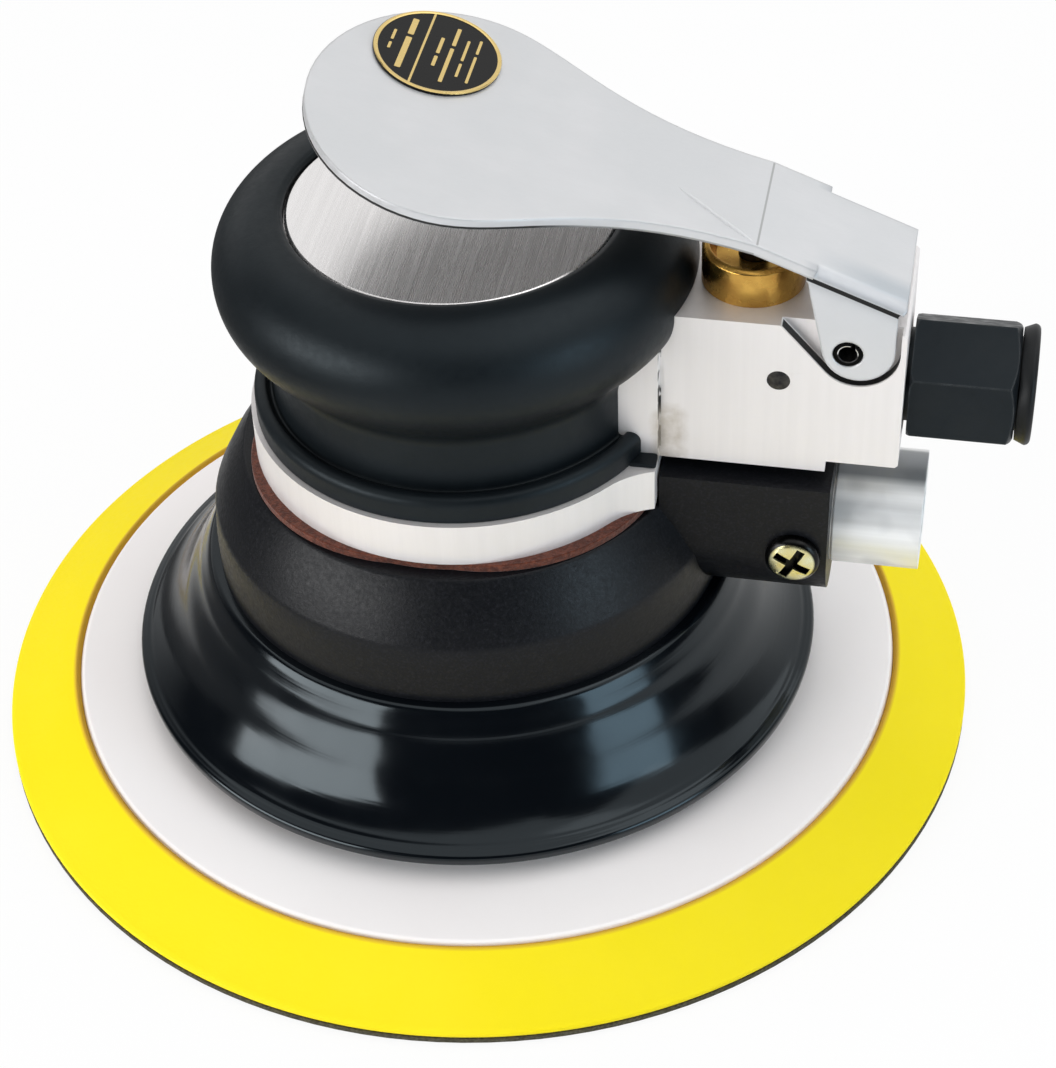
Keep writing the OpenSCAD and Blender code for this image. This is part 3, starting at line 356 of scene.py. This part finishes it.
def plug_plastic():
    s = Shader("plug plastic", (0.006, 0.007, 0.008), 0.44, specular=0.2)
    return s.bump(s.noise(1800, 2), 0.012)


def black_oxide():
    s = Shader("black oxide", (0.0080, 0.0102, 0.0125), 0.46, specular=0.18).cool()
    s.tint(s.noise(150, 4), (0.0105, 0.0125, 0.0145))
    s.rough(s.noise(500, 3), 0.30, 0.55)
    # Lighter edges: wear, and a painted highlight on the corners.
    s.wear_and_highlight((0.15, 0.155, 0.155), 0.45, 0.75)
    return s.bump(s.noise(1400, 3), 0.02)


def pin_steel():
    """Dark steel; on the lever's pin, a painted black shadow ring round its end and a painted highlight on
    the bore's upper rim.
    """
    s = Shader("dark steel", (0.030, 0.030, 0.034), 0.4, 1.0)
    s.tint(s.noise(800, 2), (0.09, 0.085, 0.08))
    s.rough(s.noise(700, 3), 0.26, 0.5)
    bore_edge, shadow_ring_start, shadow_ring_end = 1.2, 1.42, 3
    pin_x, _, pin_z = middle("lever_pin")
    from_axis = s.distance("XZ", (pin_x, pin_z))
    height = s.math("SUBTRACT", s.axis("Z"), pin_z)
    # Painted shadow: a black ring round the pin's end, where the gap round it is dark.
    s.mark(grey(0.006), s.within(from_axis, shadow_ring_start, shadow_ring_end, 0.05))
    # Painted highlight: a bright rim on the upper edge of the bore.
    return s.mark(grey(0.85), s.within(from_axis, bore_edge, shadow_ring_start - 0.02, 0.04),
                  s.within(height, 0.1, 3, 0.3))


def steel():
    return brushed("ground steel", (0.56, 0.56, 0.58), (200, 4200, 4200), roughness=0.3, depth=0.004)


def bearing_steel():
    s = Shader("bearing steel", (0.72, 0.72, 0.74), 0.14, 1.0)
    return s.rough(s.noise(300, 3), 0.1, 0.2)


def brass():
    s = Shader("turned brass", (0.72, 0.43, 0.10), 0.22, 1.0)
    s.tint(s.noise(260, 3), (0.50, 0.27, 0.06))
    s.rough(s.noise(420, 3), 0.16, 0.34)
    return s.bump(s.noise(1.0, 2, 0.5, s.stretched((60, 60, 4200))), 0.006)


def yellow_zinc():
    """The duct screw's plating, with painted shade in the cross recess, which lies deeper than its face."""
    s = Shader("yellow zinc", (0.78, 0.68, 0.30), 0.28, 1.0)
    s.tint(s.noise(420, 3), (0.80, 0.80, 0.52))
    face = -span("duct_screw")[0].y
    # Painted shade in the cross recess.
    s.mark(grey(0.02), s.within(s.axis("Y", size=True), 0, face - 0.45, 0.15))
    return s.rough(s.noise(600, 2), 0.2, 0.38)


def felt():
    s = Shader("pressed felt", (0.072, 0.0172, 0.0085), 0.95, specular=0.1)
    s.bsdf.inputs["Sheen Weight"].default_value = 0.3
    s.tint(s.noise(1300, 4, 0.7), (0.15, 0.040, 0.020), 0.42, 0.62)
    return s.bump(s.noise(2400, 4, 0.7), 0.15)


def badge_black():
    s = Shader("badge black", (0.004, 0.0038, 0.0035), 0.24, specular=0.2)
    return s.rough(s.noise(300, 2), 0.20, 0.30)


def badge_gold():
    s = Shader("badge gold", (0.80, 0.60, 0.24), 0.28, 1.0)
    return s.rough(s.noise(500, 2), 0.22, 0.38)


def blade_phenolic():
    s = Shader("blade laminate", (0.24, 0.13, 0.06), 0.6)
    return s.tint(s.noise(1200, 3), (0.34, 0.2, 0.1))


def o_ring_rubber():
    s = Shader("o ring rubber", (0.015, 0.015, 0.015), 0.4)
    return s.rough(s.noise(900, 2), 0.34, 0.5)


def plate_plastic():
    s = Shader("backing plate", (0.975, 0.94, 0.93), 0.34)
    s.tint(s.noise(35, 3), (0.96, 0.92, 0.91))
    s.rough(s.noise(260, 3), 0.28, 0.44)
    return s.bump(s.noise(900, 2), 0.008)


def foam():
    """Yellow foam with a painted brown shade line in the groove where it meets the backing plate's rim."""
    s = Shader("yellow foam", (0.92, 0.75, 0.006), 0.6, specular=0.15)
    s.tint(s.noise(50, 3), (0.94, 0.76, 0.010))
    from_axis, rim = s.distance("XY", middle("backing_plate")[:2]), half_width("backing_plate")
    # Painted shade: a brown line in the groove at the backing plate's rim.
    s.mark((0.62, 0.36, 0.03), s.within(from_axis, rim - 0.3, rim + 0.7, 0.5))
    s.rough(s.noise(1200, 3), 0.52, 0.70)
    s.bump(s.noise(60, 2), 0.12)
    return s.bump(s.noise(1500, 4, 0.7), 0.03)


def hook():
    s = Shader("hook face", (0.050, 0.045, 0.028), 0.95, specular=0.2)
    s.tint(s.noise(2400, 3), (0.11, 0.10, 0.07))
    return s.bump(s.noise(2600, 3), 0.15)


MATERIALS = {make.__name__: make().material for make in (
    lever_metal, cast_aluminium, brushed_aluminium, tube_aluminium, grip_rubber, skirt_rubber,
    shroud_plastic, plug_plastic, black_oxide, pin_steel, steel, bearing_steel, brass, yellow_zinc, felt,
    badge_black, badge_gold, blade_phenolic, o_ring_rubber, plate_plastic, foam, hook,
)}


def dress(obj, slot):
    obj.data.materials.clear()
    obj.data.materials.append(MATERIALS[slot])


# ---------------------------------------------------------------- outlines and meshes, in millimetres


def arc(centre, radius, start, end, steps):
    """Points on an arc from one angle to another, in degrees."""
    angles = [math.radians(start + (end - start) * i / steps) for i in range(steps + 1)]
    return [(centre[0] + radius * math.cos(a), centre[1] + radius * math.sin(a)) for a in angles]


def circle(centre, radius, sides):
    """The corners of a closed circle."""
    return arc(centre, radius, 0, 360 * (sides - 1) / sides, sides - 1)


def curve(p0, p1, p2, p3, steps):
    """Points on a cubic curve with two handles."""
    points = []
    for i in range(steps + 1):
        t = i / steps
        weights = ((1 - t) ** 3, 3 * (1 - t) ** 2 * t, 3 * (1 - t) * t * t, t ** 3)
        points.append(tuple(sum(w * p[k] for w, p in zip(weights, (p0, p1, p2, p3))) for k in (0, 1)))
    return points


def rounded(outline, radius, steps=4):
    """A closed outline with every corner rounded by at most radius."""
    points = []
    for i, point in enumerate(outline):
        p = Vector(point)
        before, after = Vector(outline[i - 1]) - p, Vector(outline[(i + 1) % len(outline)]) - p
        reach = min(radius, before.length / 2.2, after.length / 2.2)
        a, b = p + before.normalized() * reach, p + after.normalized() * reach
        for k in range(steps + 1):
            t = k / steps
            points.append(tuple(a * (1 - t) ** 2 + p * (2 * t * (1 - t)) + b * t * t))
    return points


def skin(bm, rows, around=False, along=False, open_columns=()):
    """Faces between neighbouring rows of vertices, closed around each row and along the rows where asked."""
    for i in range(len(rows) if along else len(rows) - 1):
        a, b = rows[i], rows[(i + 1) % len(rows)]
        for j in range(len(a) if around else len(a) - 1):
            k = (j + 1) % len(a)
            if j not in open_columns:
                bm.faces.new((a[j], a[k], b[k], b[j]))


def revolve(outline, centre=(0, 0), steps=192):
    """Turns a closed (radius, height) outline about a vertical axis; a stretch on the axis needs no face."""
    bm = bmesh.new()
    rows = []
    for i in range(steps):
        a = math.tau * i / steps
        rows.append([bm.verts.new((centre[0] + r * math.cos(a), centre[1] + r * math.sin(a), z))
                     for r, z in outline])
    following = outline[1:] + outline[:1]
    on_axis = [j for j, (p, q) in enumerate(zip(outline, following)) if max(p[0], q[0]) <= 1e-6]
    skin(bm, rows, around=True, along=True, open_columns=on_axis)
    return bm


def upright(u, v, w):
    """A prism's place when it stands on the XY plane."""
    return (u, v, w)


def prism(outline, place, height):
    """Extrudes a closed outline; place maps (u, v, w) to a point, and height gives the range of w."""
    bm = bmesh.new()
    ends = [[bm.verts.new(place(u, v, w)) for u, v in outline] for w in height]
    skin(bm, ends, around=True)
    for end in ends:
        bm.faces.new(end)
    bmesh.ops.recalc_face_normals(bm, faces=bm.faces)
    return bm


def merged(meshes):
    bm = bmesh.new()
    for part in meshes:
        data = bpy.data.meshes.new("part")
        part.to_mesh(data)
        part.free()
        bm.from_mesh(data)
        bpy.data.meshes.remove(data)
    return bm


def clean(bm):
    """Joins doubled vertices and turns all faces outwards."""
    bmesh.ops.remove_doubles(bm, verts=bm.verts, dist=1e-4)
    bmesh.ops.recalc_face_normals(bm, faces=bm.faces)


def minus(solid, cutter):
    """The solid without the cutter, by an exact boolean."""
    objects = []
    for bm in (solid, cutter):
        clean(bm)
        data = bpy.data.meshes.new("part")
        bm.to_mesh(data)
        bm.free()
        objects.append(bpy.data.objects.new("part", data))
        bpy.context.scene.collection.objects.link(objects[-1])
    modifier = objects[0].modifiers.new("cut", "BOOLEAN")
    modifier.operation = "DIFFERENCE"
    modifier.solver = "EXACT"
    modifier.object = objects[1]
    bpy.context.view_layer.update()
    evaluated = objects[0].evaluated_get(bpy.context.evaluated_depsgraph_get())
    bm = bmesh.new()
    bm.from_mesh(evaluated.to_mesh())
    for obj in objects:
        data = obj.data
        bpy.data.objects.remove(obj)
        bpy.data.meshes.remove(data)
    return bm


def build(name, bm, slot, body, sharp):
    """Turns a bmesh in millimetres into a piece that rides on a body; edges over sharp degrees stay sharp."""
    clean(bm)
    bmesh.ops.scale(bm, vec=Vector((MM,) * 3), verts=bm.verts)
    mesh = bpy.data.meshes.new(name)
    bm.to_mesh(mesh)
    bm.free()
    mesh.shade_smooth()
    mesh.set_sharp_from_angle(angle=math.radians(sharp))
    obj = bpy.data.objects.new(name, mesh)
    bpy.context.scene.collection.objects.link(obj)
    dress(obj, slot)
    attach(obj, body)
    return obj


def round_edges(obj, width, angle=32):
    """Rounds an object's edges with modifiers, so a CAD node's own mesh stays as it is."""
    weld = obj.modifiers.new("weld", "WELD")
    weld.merge_threshold = 2e-6
    bevel = obj.modifiers.new("bevel", "BEVEL")
    bevel.width = width * MM
    bevel.segments = 3
    bevel.limit_method = "ANGLE"
    bevel.angle_limit = math.radians(angle)
    bevel.miter_outer = "MITER_ARC"
    normals = obj.modifiers.new("normals", "WEIGHTED_NORMAL")
    normals.keep_sharp = False


# ---------------------------------------------------------------- CAD nodes keep their shape


EDGES = {
    "motor_housing": 0.3, "lever": 0.3, "shroud": 0.45, "top_plate": 0.2, "exhaust_tube": 0.35,
    "inlet_bushing": 0.35, "inlet_plug": 0.2, "valve_bushing": 0.2, "badge": 0.12, "duct_screw": 0.12,
    "backing_plate": 0.3, "hook_face": 0.15, "bushing_pin": 0.15, "lever_pin": 0.12, "felt_gasket": 0.15,
}
for node, obj in NODES.items():
    dress(obj, SLOT_OF[node])
    if node in EDGES:
        round_edges(obj, EDGES[node])

# ---------------------------------------------------------------- pieces that stand for plain CAD solids


def foam_outline(lip, top):
    """Half the foam's section: a flat face, a rounded lip, a swelling bevel and a small bead at the plate."""
    edge, plate, plate_low = half_width("pad_foam"), half_width("backing_plate"), span("backing_plate")[0].z
    bevel_top = plate + 0.3
    swell = 0.35
    mid = ((bevel_top + edge) / 2 + swell * 0.6, (top + lip) / 2 + swell)
    outline = [(0, lip), (edge - 0.9, lip)]
    outline += arc((edge - 0.75, lip + 0.75), 0.75, -90, 25, 8)
    outline += curve((edge - 0.25, lip + 1.25), (mid[0] + 2.2, mid[1] - 1.25), (mid[0] - 1.9, mid[1] + 1.2),
                     (bevel_top + 0.55, top - 0.12), 14)
    outline += arc((bevel_top + 0.32, top - 0.3), 0.3, 70, 180, 6)
    return outline + [(plate + 0.04, top - 0.6), (plate + 0.04, plate_low), (0, plate_low)]


def make_foam():
    """The pad's foam: a soft moulded wedge with its dust holes."""
    low, high = span("pad_foam")
    axis_x, plate_low = middle("pad_foam")[0], span("backing_plate")[0].z
    body = revolve(foam_outline(low.z, high.z), (axis_x, 0), 240)
    hole_count, hole_radius, hole_circle = 6, 5, 40
    holes = []
    for i in range(hole_count):
        a = math.tau * i / hole_count
        centre = (axis_x + hole_circle * math.cos(a), hole_circle * math.sin(a))
        holes.append(prism(circle(centre, hole_radius, 48), upright, (low.z - 1, plate_low + 1)))
    piece = build("foam_pad", minus(body, merged(holes)), "foam", "pad", 50)
    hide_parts("pad_foam")


def grip_outline(foot_z, top):
    """The grip's section: a foot bead, a groove, a waist, a full bulge and a lip round the disc."""
    largest, disc, core = -span("rubber_grip")[0].x, span("top_plate")[1].x, 24.7
    foot, waist, bulge = 30.1, 27.2, 9
    bulge_z = top - bulge
    outline = [(foot - 0.4, foot_z)] + arc((foot - 0.35, foot_z + 0.35), 0.35, -60, 0, 3)
    outline += curve((foot, foot_z + 2.6), (foot, foot_z + 3.8), (waist + 2, foot_z + 4.25),
                     (waist + 1.2, foot_z + 4.2), 10)
    outline += curve((waist + 1.05, foot_z + 4.1), (waist + 0.7, foot_z + 3.3), (waist + 0.1, foot_z + 3.3),
                     (waist, foot_z + 4.1), 6)
    outline += curve((waist, bulge_z - 12.7), (waist, bulge_z - 8.2), (largest, bulge_z - 7.2),
                     (largest, bulge_z), 30)
    outline += arc((largest - bulge, bulge_z), bulge, 3, 96, 30)
    outline += arc((disc + 0.85, top - 0.75), 0.62, 95, 180, 5)
    return outline + [(disc + 0.22, top - 2), (core, top - 2), (core, foot_z)]


def make_grip():
    """The rubber sleeve: one smooth turned skin, cut out for the neck and the valve block."""
    low, high = span("rubber_grip")
    free = 0.03
    neck, block, neck_end = NECK_SIDE + free, BLOCK_SIDE + free, NECK_END + free
    past_grip = 45
    plan = [(0, -neck), (neck_end, -neck), (neck_end, -block), (past_grip, -block),
            (past_grip, block), (neck_end, block), (neck_end, neck), (0, neck)]
    body = revolve(grip_outline(low.z, high.z))
    cutter = prism(plan, upright, (low.z - 1, BLOCK_TOP + free))
    piece = build("grip_skin", minus(body, cutter), "grip_rubber", "housing", 40)
    round_edges(piece, 0.35, 50)
    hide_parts("rubber_grip")
    make_tabs(neck, neck_end, low.z)


def make_tabs(neck, neck_end, foot_z):
    """The grip's two flat tabs, one on each side of the neck."""
    inner_start, outer_start, outer, thick = 21.9, 26.5, 14.05, 0.7
    tabs = []
    for side in (-1, 1):
        plan = [(inner_start, side * neck), (neck_end, side * neck), (neck_end, side * outer),
                (outer_start, side * outer)]
        tabs.append(prism(rounded(plan, 0.5), upright, (foot_z, foot_z + thick)))
    piece = build("grip_tabs", merged(tabs), "grip_rubber", "housing", 40)
    round_edges(piece, 0.2, 50)


def skirt_outline(edge, lip, ledge):
    """The skirt's section: a ledge on the shroud, a crease, a flare and a beaded lip, then back up inside."""
    shroud, crease, wall = 38.2, 41.8, 1.8
    inner = shroud - 1.16
    flare = (crease + 2.6, lip + 9.8)
    outline = [(inner, ledge - 7.4), (inner, ledge)]
    outline += curve((shroud + 0.9, ledge), (shroud + 1.75, ledge), (shroud + 2.2, ledge - 1.6),
                     (crease - 0.35, ledge - 3.4), 10)
    outline += curve((crease - 0.15, ledge - 3.9), (crease + 0.5, ledge - 5.6), (crease + 1.5, lip + 12),
                     flare, 8)[:-1]
    outline += curve(flare, (crease + 4.2, lip + 6.6), (edge - 4.4, lip + 4.2), (edge - 1.9, lip + 2.6), 22)
    outline += curve((edge - 1.75, lip + 2.45), (edge - 1.35, lip + 2.15), (edge - 1.2, lip + 2.25),
                     (edge - 0.9, lip + 2.1), 5)
    outline += arc((edge - 0.85, lip + 1.15), 0.85, 80, -10, 10)
    outline += arc((edge - 0.5, lip + 0.4), 0.4, 0, -90, 5)
    outline += [(edge - wall, lip)]
    outline += curve((edge - wall - 1.6, lip + 1.5), (edge - 4.8 - wall, lip + 4.6),
                     (crease + 1.6 - wall, lip + 9.8), (crease - wall, ledge - 5.6), 10)
    return outline


def make_skirt():
    """The rubber skirt, cut out for the round exhaust duct."""
    low, high = span("skirt")
    duct, free = 12.65, 0.08
    across_duct = circle((0, middle("exhaust_tube")[2]), duct + free, 60)
    cutter = prism(across_duct, lambda u, v, w: (w, u, v), (25, 60))
    body = revolve(skirt_outline(-low.x, low.z, high.z))
    piece = build("skirt_rubber", minus(body, cutter), "skirt_rubber", "housing", 40)
    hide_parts("skirt")


def make_spring():
    """The valve's coil spring, wound over the CAD node's height; the real one shortens towards its seat as
    the valve opens.
    """
    low, high = span("valve_spring")
    centre_x, height = middle("valve_spring")[0], high.z - low.z
    wire, turns, steps, sides = 0.3, 3, 108, 12
    radius = half_width("valve_spring") - wire
    bm = bmesh.new()
    rings = []
    for i in range(steps + 1):
        a = math.tau * turns * i / steps
        z = low.z + wire + (height - 2 * wire) * i / steps
        rings.append([bm.verts.new((centre_x + r * math.cos(a), r * math.sin(a), z + h))
                      for r, h in circle((radius, 0), wire, sides)])
    skin(bm, rings, around=True)
    for ring in (rings[0], rings[-1]):
        bm.faces.new(ring)
    piece = build("spring_coil", bm, "steel", "housing", 50)
    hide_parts("valve_spring")
    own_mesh(piece)


# ---------------------------------------------------------------- trim on the lever


BADGE_HEIGHT = 0.4      # the badge's face above the palm plate


def on_palm(u, v, w):
    """A point on the palm plate: u from the bend, v across, w above the plate."""
    return (BEND[0] + u * math.cos(PALM_TILT) + w * math.sin(PALM_TILT), v,
            BEND[1] - u * math.sin(PALM_TILT) + w * math.cos(PALM_TILT))


def badge_middle():
    """The badge's middle on the palm plate, as u and v."""
    x, y, _ = middle("badge")
    return (x - BEND[0]) / math.cos(PALM_TILT), y


def make_badge_rim():
    """The gold rim round the black oval."""
    low, high = span("badge")
    centre_u, centre_v = badge_middle()
    reach_u, reach_v = 8.9, (high.y - low.y) / 2
    section = [(-0.62, 0.0), (-0.62, 0.06), (-0.5, 0.14), (-0.15, 0.14), (-0.03, 0.02), (-0.03, -0.1)]
    steps = 96
    bm = bmesh.new()
    rows = []
    for i in range(steps):
        a = math.tau * i / steps
        rows.append([bm.verts.new(on_palm(centre_u + (reach_u + d) * math.cos(a),
                                          centre_v + (reach_v + d) * math.sin(a), BADGE_HEIGHT + h))
                     for d, h in section])
    skin(bm, rows, along=True)
    build("badge_rim", bm, "badge_gold", "lever", 40)


def make_badge_marks():
    """The gold chord across the badge, and plain bars where it has words."""
    centre_u, centre_v = badge_middle()

    def bar(u, v0, v1, width):
        u0, u1 = u - width / 2, u + width / 2
        outline = rounded([(u0, v0), (u1, v0), (u1, v1), (u0, v1)], 0.2)
        return prism([(centre_u + a, centre_v + b) for a, b in outline], on_palm,
                     (BADGE_HEIGHT - 0.02, BADGE_HEIGHT + 0.05))

    chord_u, chord_reach, chord_width = -2.2, 8.9, 0.32
    bars = [bar(chord_u, -chord_reach, chord_reach, chord_width)]
    half_gap = 0.35
    rows = ((-6.5, 2.4, 0.4), (-4.4, 6.2, 0.85), (0.0, 3.6, 0.5),
            (1.7, 6.8, 0.55), (3.5, 4.6, 0.4), (5.1, 5.4, 0.4))
    for row, (u, reach, width) in enumerate(rows):
        split = reach * (0.3 if row % 2 else -0.2)
        bars += [bar(u, -reach, split - half_gap, width), bar(u, split + half_gap, reach, width)]
    build("badge_marks", merged(bars), "badge_gold", "lever", 40)


def make_crease():
    """The raised crease that runs back from the front end of the lever's bend and thins out at both ends."""
    start, end = Vector((-0.4, -9.3)), Vector((-11.9, -2.0))
    half_wide, tall, sunk = 0.42, 0.32, 0.02
    along = (end - start).normalized()
    across = Vector((-along.y, along.x))
    steps, sides = 24, 6
    bm = bmesh.new()
    rows = []
    for i in range(steps + 1):
        t = i / steps
        size = min(1, 5 * t, 5 * (1 - t)) ** 0.5
        centre = start + (end - start) * t
        row = []
        for k in range(sides + 1):
            a = math.pi * k / sides
            p = centre + across * (half_wide * size * math.cos(a))
            row.append(bm.verts.new(on_palm(p.x, p.y, tall * size * math.sin(a) - sunk)))
        rows.append(row)
    skin(bm, rows)
    build("lever_crease", bm, "lever_metal", "lever", 60)


make_foam()
make_grip()
make_skirt()
make_spring()
make_badge_rim()
make_badge_marks()
make_crease()

# ---------------------------------------------------------------- floor, light and camera


def make_floor():
    """A pale floor that keeps the shadow under a share of white glow, to the camera and in reflections.

    The reflected glow fades past the object's left, and the share grows far out, where no shadow falls.
    """
    bm = bmesh.new()
    bmesh.ops.create_grid(bm, x_segments=1, y_segments=1, size=6)
    mesh = bpy.data.meshes.new("floor")
    bm.to_mesh(mesh)
    bm.free()
    floor = bpy.data.objects.new("floor", mesh)
    floor.location.z = -0.3 * MM
    bpy.context.scene.collection.objects.link(floor)
    s = Shader("floor", grey(0.90), 0.9, specular=0.0)
    glow = s.node("ShaderNodeEmission", Color=(1, 1, 1, 1))
    path = s.node("ShaderNodeLightPath")
    camera, mirrored = path.outputs["Is Camera Ray"], path.outputs["Is Glossy Ray"]
    dark_left = s.ranged(s.axis("X"), 0.10, 0.9, -110, -72)
    s.link(s.math("MAXIMUM", camera, dark_left), glow.inputs["Strength"])
    share = s.ranged(s.distance(), 0.9, 1, 250, 700)
    seen = s.math("MULTIPLY", s.math("MAXIMUM", camera, mirrored), share)
    mix = s.node("ShaderNodeMixShader")
    s.link(seen, mix.inputs["Fac"])
    s.link(s.bsdf.outputs["BSDF"], mix.inputs[1])
    s.link(glow.outputs["Emission"], mix.inputs[2])
    s.link(mix.outputs["Shader"], s.tree.nodes["Material Output"].inputs["Surface"])
    floor.data.materials.append(s.material)


def make_world():
    """White to the camera, and otherwise pale behind the object and dark behind the camera."""
    world = bpy.data.worlds.new("studio")
    bpy.context.scene.world = world
    world.use_nodes = True
    tree = world.node_tree
    front, back = 0.05, 0.88
    split = tree.nodes.new("ShaderNodeSeparateXYZ")
    tree.links.new(tree.nodes.new("ShaderNodeTexCoord").outputs["Generated"], split.inputs["Vector"])
    depth = tree.nodes.new("ShaderNodeMapRange")
    for key, number in zip(("From Min", "From Max", "To Min", "To Max"), (0.12, 0.62, front, back)):
        depth.inputs[key].default_value = number
    tree.links.new(split.outputs["Y"], depth.inputs["Value"])
    ambient = tree.nodes["Background"]
    ambient.inputs["Color"].default_value = (1, 1, 1, 1)
    tree.links.new(depth.outputs["Result"], ambient.inputs["Strength"])
    white = tree.nodes.new("ShaderNodeBackground")
    white.inputs["Color"].default_value = (1, 1, 1, 1)
    white.inputs["Strength"].default_value = 1.0
    path = tree.nodes.new("ShaderNodeLightPath")
    mix = tree.nodes.new("ShaderNodeMixShader")
    tree.links.new(path.outputs["Is Camera Ray"], mix.inputs["Fac"])
    tree.links.new(ambient.outputs["Background"], mix.inputs[1])
    tree.links.new(white.outputs["Background"], mix.inputs[2])
    tree.links.new(mix.outputs["Shader"], tree.nodes["World Output"].inputs["Surface"])


def softbox(name, azimuth, elevation, distance, size, watts, color=(1, 1, 1)):
    """A rectangular lamp that faces the object's middle, from an azimuth and an elevation in degrees."""
    a, e = math.radians(azimuth), math.radians(elevation)
    back = Vector((math.cos(a) * math.cos(e), math.sin(a) * math.cos(e), math.sin(e)))
    light = bpy.data.lights.new(name, "AREA")
    light.shape = "RECTANGLE"
    light.size, light.size_y = size
    light.energy = watts
    light.color = color
    obj = bpy.data.objects.new(name, light)
    obj.location = Vector((0, 0, 0.05)) + back * distance
    obj.rotation_mode = "QUATERNION"
    obj.rotation_quaternion = back.to_track_quat("Z", "Y")
    bpy.context.scene.collection.objects.link(obj)


def make_lights():
    softbox("left", -137, 12, 0.9, (0.80, 0.42), 6.5)
    softbox("right", -27, 12, 0.9, (0.40, 0.40), 2.2, (0.66, 0.86, 1.0))
    softbox("far_right", 8, 48, 0.9, (1.1, 0.85), 2.8)
    softbox("top", -110, 84, 1.0, (1.7, 1.3), 7.3)


def make_camera():
    """The photograph's view: 41.7 degrees down, a little to the right of the object's front."""
    azimuth, elevation, roll = (math.radians(a) for a in (12.376, 41.704, -2.463))
    distance = 0.399
    target = Vector((8.15, 2.03, 26.2)) * MM
    back = Vector((math.sin(azimuth) * math.cos(elevation), -math.cos(azimuth) * math.cos(elevation),
                   math.sin(elevation)))
    level = Vector((math.cos(azimuth), math.sin(azimuth), 0))
    right = level * math.cos(roll) + back.cross(level) * math.sin(roll)
    up = back.cross(right)
    data = bpy.data.cameras.new("camera")
    data.sensor_width = 36
    data.lens = 88.18
    data.clip_start = 0.01
    camera = bpy.data.objects.new("camera", data)
    camera.matrix_world = Matrix((
        (right.x, up.x, back.x, 0), (right.y, up.y, back.y, 0), (right.z, up.z, back.z, 0), (0, 0, 0, 1)))
    camera.location = target + back * distance
    bpy.context.scene.collection.objects.link(camera)
    bpy.context.scene.camera = camera


make_floor()
make_world()
make_lights()
make_camera()
bpy.context.scene.view_settings.view_transform = "Standard"
